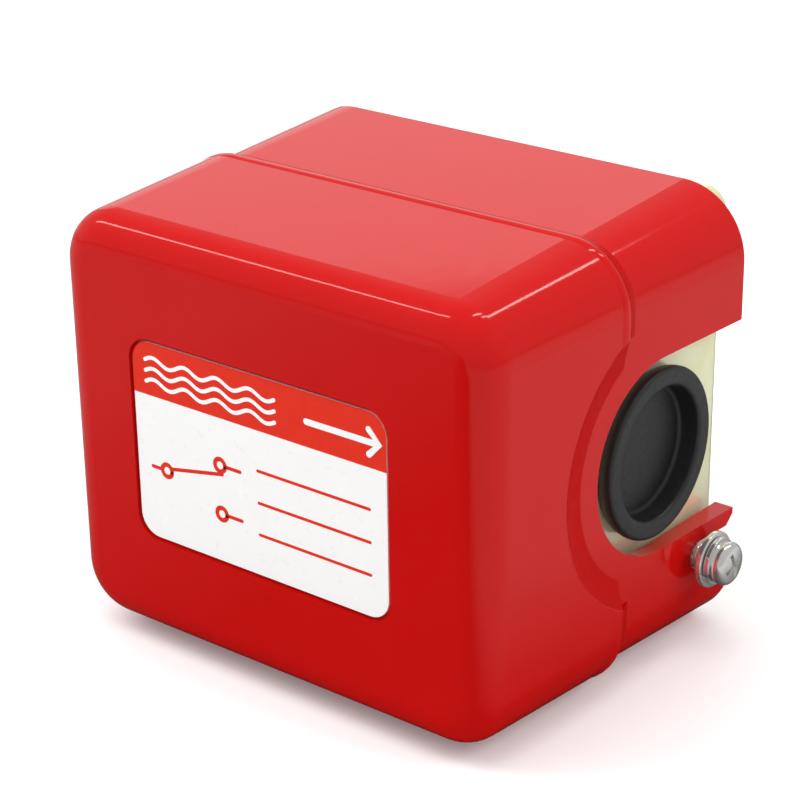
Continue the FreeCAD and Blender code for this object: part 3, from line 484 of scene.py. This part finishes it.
def ribbon(points, width):
    """The outline of a line of even width through points in x and z, with round ends."""
    points = [Vector(point) for point in points]
    sides = []
    for k, point in enumerate(points):
        along = (points[min(k + 1, len(points) - 1)] - points[max(k - 1, 0)]).normalized()
        sides.append(Vector((-along.y, along.x)) * width / 2)
    left = [point + side for point, side in zip(points, sides)]
    right = [point - side for point, side in zip(points, sides)]
    caps = []
    for point, side in ((points[-1], sides[-1]), (points[0], -sides[0])):
        caps.append([point + Matrix.Rotation(-math.pi * k / 6, 2) @ side for k in range(1, 6)])
    return left + caps[0] + right[::-1] + caps[1]


def printed(lines, width, low, high):
    """Printed lines as thin layers on the label, one for each list of points."""
    return join([polygon_plate(ribbon(line, width), low, high) for line in lines])


def arc(middle, radius, start, stop, steps):
    """Points along an arc in x and z. Its angles are in degrees."""
    return [(middle[0] + radius * math.cos(math.radians(start + (stop - start) * k / steps)),
             middle[1] + radius * math.sin(math.radians(start + (stop - start) * k / steps)))
            for k in range(steps + 1)]


label_low, label_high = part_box("label_plate")
label_face = label_low.y
label_round = 3.5 * mm
band_height = 8.6 * mm
ink = 0.02 * mm
label_white = Finish("label_white", roughness=0.3, specular_ior_level=0.4)
label_white.set(base_color=label_white.mix(label_white.noise(3 * mm), (0.93, 0.93, 0.925, 1),
                                           (0.965, 0.965, 0.96, 1)),
                roughness=label_white.band(label_white.noise(1.5 * mm), 0.3, 0.7, 0.26, 0.36))
label_outline = rounded_outline((label_low.x, label_low.z), (label_high.x, label_high.z), label_round)
piece("label", polygon_plate(label_outline, label_face, label_high.y), label_white, "cover_shell",
      "label_print", "label_plate", soften=0.06 * mm)

label_red = Finish("label_red", roughness=0.35, specular_ior_level=0.2)
label_red.set(base_color=label_red.mix(label_red.noise(2 * mm), (0.72, 0.02, 0.005, 1),
                                       (0.79, 0.028, 0.008, 1)))
band_foot = label_high.z - band_height
band_outline = [(x, z) for x, z in label_outline if z > band_foot]
band_outline = [(label_high.x, band_foot), *band_outline, (label_low.x, band_foot)]
piece("label_band", polygon_plate(band_outline, label_face - ink, label_face), label_red, "cover_shell",
      "label_print")

arrow_level = label_high.z - 4.65 * mm
arrow_tip, arrow_tail, barb = label_high.x - 1.2 * mm, label_high.x - 14.6 * mm, 1.9 * mm
wave_length, wave_rise, wave_start = 6.4 * mm, 0.55 * mm, label_low.x + 2.6 * mm
head = [(arrow_tip - barb, arrow_level + barb), (arrow_tip, arrow_level),
        (arrow_tip - barb, arrow_level - barb)]
waves = [[(wave_start + wave_length * k / 16,
           arrow_level + row * 1.75 * mm + wave_rise * math.sin(math.tau * k / 16))
          for k in range(16 * 4 + 1)] for row in (-1, 0, 1)]
piece("label_arrow", join([printed([head], 1.0 * mm, label_face - 3 * ink, label_face - ink),
                           printed([[(arrow_tail, arrow_level), (arrow_tip - 0.3 * mm, arrow_level)]],
                                   1.0 * mm, label_face - 2 * ink, label_face - ink),
                           printed(waves, 0.62 * mm, label_face - 2 * ink, label_face - ink)]),
      label_white, "cover_shell", "label_print")

contact_x, contact_z, eye = label_low.x + 6 * mm, -4.2 * mm, 1.0 * mm
throw_x = contact_x + 11 * mm
upper, lower = contact_z + 4 * mm, contact_z - 4 * mm
eyes = [arc(middle, eye, 0, 345, 20)
        for middle in ((contact_x, contact_z), (throw_x, upper), (throw_x, lower))]
leads = [[(contact_x - 3 * mm, contact_z), (contact_x - eye, contact_z)],
         [(contact_x + eye * 0.8, contact_z + eye * 0.5), (throw_x + 0.4 * mm, contact_z + 2.6 * mm)],
         [(throw_x + eye, upper), (throw_x + 4 * mm, upper)],
         [(throw_x + eye, lower), (throw_x + 4 * mm, lower)]]
rule_start, rule_end = throw_x + 7.5 * mm, label_high.x - 3.2 * mm
rules = [[(rule_start, contact_z + row * 5.2 * mm), (rule_end, contact_z + row * 5.2 * mm)]
         for row in (-1, 0, 1)]
piece("label_diagram", join([printed(eyes, 0.75 * mm, label_face - ink, label_face),
                             printed(leads, 0.6 * mm, label_face - ink * 0.6, label_face),
                             printed(rules, 0.5 * mm, label_face - ink, label_face)]),
      label_red, "cover_shell", "label_print")


# ---- Base bracket, switch bridge and spring bracket ----
# Bent steel strip, zinc plated and yellow passivated, so that its gold turns to olive and pink in
# clouds, with the fine lines of the rolled sheet under it.

zinc = Finish("yellow_zinc", metallic=0.45, roughness=0.2)
drift = zinc.noise(7 * mm, 3)
tint = zinc.node("ShaderNodeValToRGB",
                 {"stops": [(0.3, (0.86, 0.85, 0.5, 1)), (0.46, (0.93, 0.93, 0.58, 1)),
                            (0.56, (0.95, 0.96, 0.68, 1)), (0.68, (0.93, 0.9, 0.6, 1))]},
                 {"Fac": drift})
rolled = zinc.noise(0.25 * mm, 2, (1, 1, 14))
zinc.set(base_color=zinc.mix(zinc.band(rolled, 0.3, 0.7, 0.0, 0.25), tint, (0.96, 0.96, 0.74, 1)),
         roughness=zinc.band(zinc.noise(1.4 * mm, 4) + rolled, 0.7, 1.3, 0.12, 0.24))
zinc.relief(rolled, 0.0012 * mm)
dress(zinc, "base_bracket", "switch_bracket", "spring_bracket")

plate_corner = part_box("base_bracket")[1]
patch, corner_radius, plate_front, plate_rear = 5.5 * mm, 3.5 * mm, -15.98 * mm, -14.52 * mm
corner_outline = [(plate_corner.x, plate_corner.z - patch),
                  *arc((plate_corner.x - corner_radius, plate_corner.z - corner_radius),
                       corner_radius, 0, 90, 9),
                  (plate_corner.x - patch, plate_corner.z),
                  (plate_corner.x - patch, plate_corner.z - patch)]
piece("plate_corners",
      join([polygon_plate([(x * across, z * up) for x, z in corner_outline], plate_front, plate_rear)
            for across, up in ((1, 1), (-1, 1), (-1, -1), (1, -1))]),
      zinc, "base", "yellow_zinc")


# ---- Cable grommet ----
# A blind cup of black rubber that snaps into the flange's hole. Its lip is rounded, and a thin
# floor closes it until a cable is led in.

rubber = Finish("grommet_rubber", roughness=0.45, specular_ior_level=0.75)
rubber.set(base_color=rubber.mix(rubber.noise(1.2 * mm, 4), (0.004, 0.004, 0.005, 1),
                                 (0.012, 0.012, 0.013, 1)),
           roughness=rubber.band(rubber.noise(0.6 * mm), 0.3, 0.7, 0.38, 0.55))
rubber.relief(rubber.noise(0.22 * mm, 2), 0.01 * mm)
grommet_low, grommet_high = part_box("cable_grommet")
grommet_y, grommet_z = (grommet_low.y + grommet_high.y) / 2, (grommet_low.z + grommet_high.z) / 2
lip_radius = (grommet_high.y - grommet_low.y) / 2
flange_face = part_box("base_bracket")[1].x
lip = grommet_high.x - flange_face
cup_radius, cup_depth, membrane, sheet_steel = 10.4 * mm, 3.6 * mm, 1 * mm, 1.5 * mm
inner_lip, neck = 12.5 * mm, 10.95 * mm
outside = lip_radius - 0.4 * mm
cup_floor = lip - cup_depth
cup_profile = softened([(0, cup_floor - membrane), (cup_radius, cup_floor - membrane),
                        (inner_lip - 0.7 * mm, -sheet_steel - 1.4 * mm), (inner_lip, -sheet_steel),
                        (neck, -sheet_steel), (neck, 0), (outside - 0.8 * mm, 0.1 * mm),
                        (outside, lip * 0.5), (outside, lip), (cup_radius, lip),
                        (cup_radius - 0.15 * mm, cup_floor), (0, cup_floor)], 0.75 * mm, 6)
piece("grommet", placed(lathe(cup_profile, 128), (flange_face, grommet_y, grommet_z), (1, 0, 0)), rubber,
      "base", "grommet_rubber", "cable_grommet", sharp=50)


# ---- Screws ----
# Pan head machine screws, bright nickel plated, each with a cross recess and a rolled thread.
# They are cold headed, so the crown runs round into the side of the head.

def threaded_rod(radius, pitch, depth, start, stop, around=40, rows=10):
    """A rod about Z with a round-form thread, led in and out at both ends."""
    shape = bmesh.new()
    count = max(2, round((stop - start) / pitch * rows))
    rings = []
    for row in range(count + 1):
        height = start + (stop - start) * row / count
        lead = min(height - start, stop - height, depth * 1.2)
        ring = []
        for k in range(around):
            phase = math.tau * (height / pitch - k / around)
            here = min(radius - depth * (0.5 - 0.5 * math.cos(phase)), radius - depth * 1.2 + lead)
            ring.append(shape.verts.new((here * math.cos(math.tau * k / around),
                                         here * math.sin(math.tau * k / around), height)))
        rings.append(ring)
    for low, high in zip(rings, rings[1:]):
        for k in range(around):
            follow = (k + 1) % around
            shape.faces.new((low[k], low[follow], high[follow], high[k]))
    shape.faces.new(rings[0][::-1])
    shape.faces.new(rings[-1])
    return shape


def cross_recess(radius, top, depth):
    """The tool of a cross recess: two tapered wings through the axis."""
    wings = []
    for turned in (0, 1):
        wing = bmesh.new()
        corners = []
        for level, long, wide in ((top - depth, radius * 0.3, radius * 0.1),
                                  (top + 0.2 * mm, radius, radius * 0.17)):
            for x, y in ((long, wide), (-long, wide), (-long, -wide), (long, -wide)):
                corners.append(wing.verts.new((y, x, level) if turned else (x, y, level)))
        bmesh.ops.convex_hull(wing, input=corners)
        wings.append(wing)
    return carved(wings[0], wings[1], "UNION")


def pan_head(radius, height, slotted=False):
    """A pan head on Z from its seat, with its drive."""
    head = lathe([(0, 0), (radius * 0.96, 0)] + [
        (radius * (0.72 + 0.28 * math.cos(angle)), height * (0.42 + 0.46 * math.sin(angle)))
        for angle in (math.radians(turn) for turn in range(-40, 91, 13))]
        + [(radius * 0.4, height * 0.97), (0, height)], 72)
    if slotted:
        slot = bmesh.new()
        bmesh.ops.create_cube(slot, size=1)
        bmesh.ops.scale(slot, vec=(radius * 2.4, radius * 0.28, height * 0.9), verts=slot.verts)
        bmesh.ops.translate(slot, vec=(0, 0, height), verts=slot.verts)
        return carved(head, slot)
    return carved(head, cross_recess(radius * 0.72, height, height * 0.72))


def screw(place, axis, head_radius, head_height, radius, length, pitch, slotted=False, turned=0):
    """A whole screw: its head on the seat, and its threaded shank behind it."""
    shape = join([pan_head(head_radius, head_height, slotted),
                  threaded_rod(radius, pitch, pitch * 0.6, -length, 0)])
    shape.transform(Matrix.Rotation(math.radians(turned), 4, "Z"))
    return placed(shape, place, axis)


nickel = Finish("bright_nickel", metallic=0.88, roughness=0.12)
nickel.set(base_color=nickel.mix(nickel.noise(1.1 * mm, 4), (0.86, 0.85, 0.83, 1),
                                 (0.97, 0.96, 0.94, 1)),
           roughness=nickel.band(nickel.noise(0.4 * mm, 4), 0.3, 0.75, 0.1, 0.26))
nickel.relief(nickel.noise(0.3 * mm, 3), 0.004 * mm)

screws_low, screws_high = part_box("cover_screws")
screw_y, screw_z = (screws_low.y + screws_high.y) / 2, (screws_low.z + screws_high.z) / 2
lock_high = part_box("cover_lock_washers")[1].x
head_height = screws_high.x - lock_high
m4_head, m4_rise, m4_shank, m4_pitch = 3.45 * mm, 2.5 * mm, 1.95 * mm, 0.7 * mm
sides = (("entry", 1), ("plain", -1))
for (where, side), turned in zip(sides, (20, 65)):
    shape = screw((lock_high * side, screw_y, screw_z), (side, 0, 0), m4_head, head_height,
                  2 * mm, 13 * mm, m4_pitch, turned=turned)
    thing = piece(f"cover_screw_{where}_side", shape, nickel, "base", "bright_screw")
    if side > 0:
        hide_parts("cover_screws")


# ---- Washers of the cover screws ----
# Under each head lie a split spring washer of square wire and a flat pressed washer, both nickel
# plated. The ends of the spring washer stand apart, one a little over the other.

flat_low, flat_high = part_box("cover_flat_washers")
flat_radius, flat_thick, bore_radius = (flat_high.y - flat_low.y) / 2, 0.8 * mm, 2.1 * mm
lock_radius, lock_thick = 3.8 * mm, 1.0 * mm


def spring_washer(outer, inner, thick, gap, lift, around=72):
    """A split ring on Z, whose ends rise from the seat to the top."""
    shape = bmesh.new()
    rings = []
    for k in range(around + 1):
        share = k / around
        angle = gap / 2 + (math.tau - gap) * share
        low = lift * share
        rings.append([shape.verts.new((radius * math.cos(angle), radius * math.sin(angle), height))
                      for radius, height in ((inner, low), (outer, low),
                                             (outer, low + thick - lift), (inner, low + thick - lift))])
    for first, second in zip(rings, rings[1:]):
        for k in range(4):
            follow = (k + 1) % 4
            shape.faces.new((first[k], second[k], second[follow], first[follow]))
    shape.faces.new(rings[0])
    shape.faces.new(rings[-1][::-1])
    bmesh.ops.recalc_face_normals(shape, faces=shape.faces)
    return shape


flat_profile = softened([(bore_radius, flat_thick / 2), (bore_radius, 0), (flat_radius, 0),
                         (flat_radius, flat_thick), (bore_radius, flat_thick),
                         (bore_radius, flat_thick / 2)], 0.12 * mm, 3)[:-1]
for where, side in sides:
    flat = placed(lathe(flat_profile, 72), ((flat_high.x - flat_thick) * side, screw_y, screw_z),
                  (side, 0, 0))
    thing = piece(f"flat_washer_{where}_side", flat, nickel, "base", "bright_screw")
    ring = spring_washer(lock_radius, bore_radius, lock_thick, 0.16, 0.22 * mm)
    ring.transform(Matrix.Rotation(math.radians(200), 4, "Z"))
    lock = placed(ring, (flat_high.x * side, screw_y, screw_z), (side, 0, 0))
    lock_thing = piece(f"spring_washer_{where}_side", lock, nickel, "base", "bright_screw",
                       soften=0.08 * mm)
    if side > 0:
        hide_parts("cover_flat_washers")
        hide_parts("cover_lock_washers")


# ---- Nuts ----
# Pressed hexagon nuts with chamfered corners: two behind the flanges take the cover screws, and
# one holds the lever on the paddle arm.

def hexagon_nut(across, height, bore, chamfer_foot=True, each=8):
    """A hexagon nut on Z. Its corners are turned off by a cone at the top, and at the foot too."""
    shape = bmesh.new()
    flat = across / 2
    crown = flat * 0.96
    rings = []
    for k in range(6 * each):
        angle = math.tau * k / (6 * each)
        reach = flat / math.cos((angle + math.pi / 6) % (math.pi / 3) - math.pi / 6)
        drop = (reach - crown) * math.tan(math.radians(28))
        foot = drop if chamfer_foot else 0
        foot_radius = crown if chamfer_foot else reach * 0.999
        outline = ((bore, 0), (foot_radius, 0), (reach, foot), (reach, height - drop),
                   (crown, height), (bore, height))
        rings.append([shape.verts.new((radius * math.cos(angle), radius * math.sin(angle), level))
                      for radius, level in outline])
    for first, second in zip(rings, rings[1:] + rings[:1]):
        for k in range(6):
            follow = (k + 1) % 6
            shape.faces.new((first[k], second[k], second[follow], first[follow]))
    bmesh.ops.recalc_face_normals(shape, faces=shape.faces)
    return shape


nuts_low, nuts_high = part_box("cover_screw_nuts")
nut_across, nut_height = nuts_high.y - nuts_low.y, 3.2 * mm
for where, side in sides:
    nut = placed(hexagon_nut(nut_across, nut_height, bore_radius - 0.1 * mm),
                 ((nuts_high.x - nut_height) * side, screw_y, screw_z), (side, 0, 0))
    thing = piece(f"cover_screw_nut_{where}_side", nut, nickel, "base", "bright_screw", sharp=20)
    if side > 0:
        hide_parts("cover_screw_nuts")
lever_nut_low, lever_nut_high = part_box("lever_nut")
piece("lever_nut_hexagon", placed(hexagon_nut(nut_across, lever_nut_high.y - lever_nut_low.y,
                                              bore_radius - 0.1 * mm),
                                  (0, lever_nut_high.y, 0), (0, -1, 0)),
      nickel, "paddle", "bright_screw", "lever_nut", sharp=20)


# ---- Stem ----
# Turned from brass bar: a round flange under the base plate, a hexagon with its corners turned
# off, and a pipe thread. The bore lets the paddle arm through, and the boss carries its pin.

brass = Finish("turned_brass", metallic=1.0, roughness=0.28)
patina = brass.noise(6 * mm, 4)
turned_lines = brass.noise(0.16 * mm, 2, (40, 1, 40))
brass.set(base_color=brass.mix(patina, (0.66, 0.44, 0.17, 1), (0.83, 0.62, 0.3, 1)),
          roughness=brass.band(turned_lines + brass.noise(2 * mm), 0.7, 1.3, 0.2, 0.36))
brass.relief(turned_lines, 0.006 * mm)

stem_low, stem_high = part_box("stem_body")
hexagon_rise, flange_thick, flange_radius = 9 * mm, 4.5 * mm, stem_high.x
hexagon_across, bore, thread_radius = 27 * mm, 6 * mm, 10.48 * mm
boss_radius, boss_top = 10 * mm, stem_low.y
flange_low = -hexagon_rise - flange_thick
turned_body = lathe(softened([(0, boss_top), (boss_radius, boss_top), (boss_radius, flange_low),
                              (flange_radius, flange_low), (flange_radius, -hexagon_rise),
                              (thread_radius - 1.4 * mm, -hexagon_rise),
                              (thread_radius - 1.4 * mm, 1 * mm), (0, 1 * mm)], 0.5 * mm, 3), 128)
hexagon = hexagon_nut(hexagon_across, hexagon_rise, bore, False)
hexagon.transform(Matrix.Translation((0, 0, -hexagon_rise)))
pipe_thread = threaded_rod(thread_radius, 1.814 * mm, 1.1 * mm, -0.5 * mm, stem_high.y, 96, 12)
stem = carved(carved(turned_body, hexagon, "UNION"), pipe_thread, "UNION")
stem = carved(stem, lathe([(0, boss_top - 1 * mm), (bore, boss_top - 1 * mm),
                           (bore, stem_high.y + 1 * mm), (0, stem_high.y + 1 * mm)], 64))
piece("stem", placed(stem, (0, 0, 0), (0, 1, 0)), brass, "base", "stem_brass", "stem_body", sharp=28)
dress(brass, "bellows_cap", "spring_nut")

fibre = Finish("gasket_fibre", roughness=0.8)
fibre.set(base_color=fibre.mix(fibre.noise(0.5 * mm, 5), (0.02, 0.02, 0.02, 1), (0.05, 0.047, 0.045, 1)))
fibre.relief(fibre.noise(0.3 * mm, 4), 0.02 * mm)
dress(fibre, "stem_gasket")


# ---- Screws that hold the stem, the earth wire and the switch ----
# The same pan head screws: four clamp the stem's flange through the gasket, one takes the earth
# wire, and two long ones hold the switch on its bridge.

stem_screws_low, stem_screws_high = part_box("stem_screws")
plate_inside = stem_screws_low.y + 2.5 * mm
spread = stem_screws_high.x - 3.5 * mm
heads = [screw((x, plate_inside, z), (0, -1, 0), m4_head, m4_rise, m4_shank, 5.4 * mm, m4_pitch,
               turned=turned)
         for x, z, turned in ((spread, spread, 10), (spread, -spread, 52), (-spread, spread, 33),
                              (-spread, -spread, 71))]
piece("stem_fixing_screws", join(heads), nickel, "base", "bright_screw", "stem_screws")
earth_low, earth_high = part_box("earth_screw")
piece("earth_terminal_screw",
      screw(((earth_low.x + earth_high.x) / 2, plate_inside, (earth_low.z + earth_high.z) / 2),
            (0, -1, 0), m4_head, m4_rise, m4_shank, -plate_inside - 13 * mm, m4_pitch, turned=40),
      nickel, "base", "bright_screw", "earth_screw")
mounting_low, mounting_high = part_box("switch_mounting_screws")
case_front = mounting_low.y + 2.5 * mm
mounting_x, mounting_z = (mounting_low.x + mounting_high.x) / 2, mounting_high.z - 3.5 * mm
piece("switch_fixing_screws",
      join([screw((mounting_x, case_front, mounting_z * side), (0, -1, 0), m4_head, m4_rise,
                  m4_shank, mounting_high.y - case_front, m4_pitch, slotted=True, turned=25 + 20 * side)
            for side in (1, -1)]),
      nickel, "base", "bright_screw", "switch_mounting_screws")


# ---- Paddle ----
# A stainless rod with an eye for its pin, and a thin stainless blade riveted to its flat. Above
# the pin a bronze bellows seals the rod, and a bent strip on its end works the switch.

steel = Finish("stainless_steel", metallic=1.0, roughness=0.3)
drawn = steel.noise(0.2 * mm, 2, (1, 18, 1))
steel.set(base_color=steel.mix(steel.noise(5 * mm), (0.5, 0.5, 0.49, 1), (0.64, 0.635, 0.62, 1)),
          roughness=steel.band(drawn, 0.3, 0.7, 0.22, 0.36))
steel.relief(drawn, 0.004 * mm)
dress(steel, "pivot_pin", "paddle_arm", "paddle_blade", "switch_lever")

rivets_low, rivets_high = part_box("paddle_rivets")
blade_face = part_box("paddle_blade")[1].x
rivet_radius, shank_radius = (rivets_high.z - rivets_low.z) / 2, 0.8 * mm
rivet_foot, rivet_rise = rivets_low.x - blade_face, rivets_high.x - blade_face
rivet_profile = [(0, rivet_foot), (shank_radius, rivet_foot), (shank_radius, 0)] + [
    (rivet_radius * math.cos(angle), rivet_rise * math.sin(angle))
    for angle in (math.radians(turn) for turn in range(0, 91, 15))]
piece("blade_rivets",
      join([placed(lathe(rivet_profile, 40), (blade_face, y, 0), (1, 0, 0))
            for y in (rivets_low.y + rivet_radius, rivets_high.y - rivet_radius)]),
      steel, "paddle", "stainless", "paddle_rivets")

bronze = Finish("bellows_bronze", metallic=1.0, roughness=0.25)
bronze.set(base_color=bronze.mix(bronze.noise(2.5 * mm, 4), (0.62, 0.36, 0.2, 1), (0.8, 0.53, 0.33, 1)),
           roughness=bronze.band(bronze.noise(0.7 * mm, 3), 0.3, 0.7, 0.18, 0.34))
bellows_low, bellows_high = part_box("bellows")
crest, root, wall, folds = bellows_high.x, 6.4 * mm, 0.3 * mm, 5
outer_line, inner_line = [], []
for k in range(folds * 16 + 1):
    level = bellows_low.y + (bellows_high.y - bellows_low.y) * k / (folds * 16)
    swell = 0.5 - 0.5 * math.cos(math.tau * k / 16)
    radius = root + wall + (crest - root - wall) * swell ** 0.8
    outer_line.append((radius, level))
    inner_line.append((radius - wall, level))
bellows = piece("bellows_tube", placed(lathe(outer_line + inner_line[::-1], 96), (0, 0, 0), (0, 1, 0)),
                bronze, None, "bellows_bronze", "bellows", sharp=70)
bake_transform(bellows)


# ---- Snap switch ----
# A bought-in switch in a black phenolic case, with three screw terminals in bays and a red
# plunger that the lever presses.

phenolic = Finish("switch_phenolic", roughness=0.42, specular_ior_level=0.4)
phenolic.set(base_color=phenolic.mix(phenolic.noise(1.5 * mm, 5), (0.012, 0.011, 0.011, 1),
                                     (0.035, 0.03, 0.028, 1)),
             roughness=phenolic.band(phenolic.noise(0.8 * mm, 4), 0.3, 0.7, 0.34, 0.5))
phenolic.relief(phenolic.noise(0.35 * mm, 3), 0.012 * mm)
dress(phenolic, "microswitch_case")

resin = Finish("plunger_resin", roughness=0.35)
resin.set(base_color=resin.mix(resin.noise(1 * mm), (0.5, 0.035, 0.02, 1), (0.62, 0.06, 0.03, 1)))
plunger_low, plunger_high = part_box("switch_plunger")
plunger_radius = (plunger_high.z - plunger_low.z) / 2
plunger_length = plunger_high.x - plunger_low.x
plunger_profile = softened([(0, 0), (plunger_radius, 0), (plunger_radius, plunger_length - 0.5 * mm),
                            (plunger_radius * 0.7, plunger_length), (0, plunger_length)], 0.5 * mm, 4)
piece("plunger_pin",
      placed(lathe(plunger_profile, 56),
             (plunger_low.x, (plunger_low.y + plunger_high.y) / 2, 0), (1, 0, 0)),
      resin, "plunger", "plunger_resin", "switch_plunger", sharp=50)

strip_brass = Finish("nickelled_brass", metallic=1.0, roughness=0.25)
strip_brass.set(base_color=strip_brass.mix(strip_brass.noise(1.5 * mm, 4), (0.66, 0.58, 0.42, 1),
                                           (0.8, 0.75, 0.62, 1)),
                roughness=strip_brass.band(strip_brass.noise(0.5 * mm), 0.3, 0.7, 0.2, 0.32))
dress(strip_brass, "terminal_clamps")
terminals_low, terminals_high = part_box("terminal_screws")
clamp_seat = terminals_low.y + 2 * mm
terminal_x = (terminals_low.x + terminals_high.x) / 2
terminal_pitch = terminals_high.z - 3 * mm
piece("terminal_pan_screws",
      join([screw((terminal_x, clamp_seat, terminal_pitch * k), (0, -1, 0), 2.95 * mm, 2 * mm, 1.65 * mm,
                  4.9 * mm, 0.6 * mm, slotted=True, turned=30 + 47 * k) for k in (-1, 0, 1)]),
      nickel, "base", "bright_screw", "terminal_screws")


# ---- Range adjustment ----
# A brass screw held in its bracket turns in a square nut that slides on the base plate, and so
# sets how hard a coil spring of drawn wire presses on the lever.

def coil(start, stop, radius, wire, turns, each=48, around=12):
    """Spring wire about X from start to stop, with its ends closed flat."""
    shape = bmesh.new()
    rings = []
    count = round(abs(turns) * each)
    for k in range(count + 1):
        share = k / count
        along = start + (stop - start) * share
        angle = math.tau * turns * share
        out = Vector((0, math.cos(angle), math.sin(angle)))
        rings.append([shape.verts.new(out * (radius + wire * math.cos(math.tau * j / around))
                                      + Vector((along + wire * math.sin(math.tau * j / around), 0, 0)))
                      for j in range(around)])
    for first, second in zip(rings, rings[1:]):
        for j in range(around):
            follow = (j + 1) % around
            shape.faces.new((first[j], first[follow], second[follow], second[j]))
    shape.faces.new(rings[0][::-1])
    shape.faces.new(rings[-1])
    bmesh.ops.recalc_face_normals(shape, faces=shape.faces)
    return shape


wire_steel = Finish("spring_wire", metallic=1.0, roughness=0.28)
wire_steel.set(base_color=wire_steel.mix(wire_steel.noise(1 * mm, 3), (0.36, 0.36, 0.37, 1),
                                         (0.52, 0.52, 0.52, 1)),
               roughness=wire_steel.band(wire_steel.noise(0.3 * mm), 0.3, 0.7, 0.22, 0.36))
spring_low, spring_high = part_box("range_spring")
spring_y = (spring_low.y + spring_high.y) / 2
wire_radius = 0.4 * mm
coil_radius = (spring_high.y - spring_low.y) / 2 - wire_radius
spring_middle = (spring_low.x + spring_high.x) / 2
halves = []
for name, body, start, stop in (
        ("spring_lever_half", "base", spring_middle, spring_high.x - wire_radius),
        ("spring_nut_half", None, spring_middle, spring_low.x + wire_radius)):
    half = coil(start, stop, coil_radius, wire_radius, 2.5 if start < stop else -2.5)
    half.transform(Matrix.Translation((0, spring_y, 0)))
    halves.append(piece(name, half, wire_steel, body, "spring_steel"))
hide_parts("range_spring")
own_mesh(halves[0])
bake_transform(halves[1])

adjuster_low, adjuster_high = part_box("adjusting_screw")
adjuster_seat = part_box("spring_bracket")[0].x
piece("adjuster",
      screw((adjuster_seat, spring_y, 0), (-1, 0, 0), m4_head, adjuster_seat - adjuster_low.x, 2 * mm,
            adjuster_high.x - adjuster_seat, m4_pitch, slotted=True),
      brass, "adjuster", "stem_brass", "adjusting_screw")
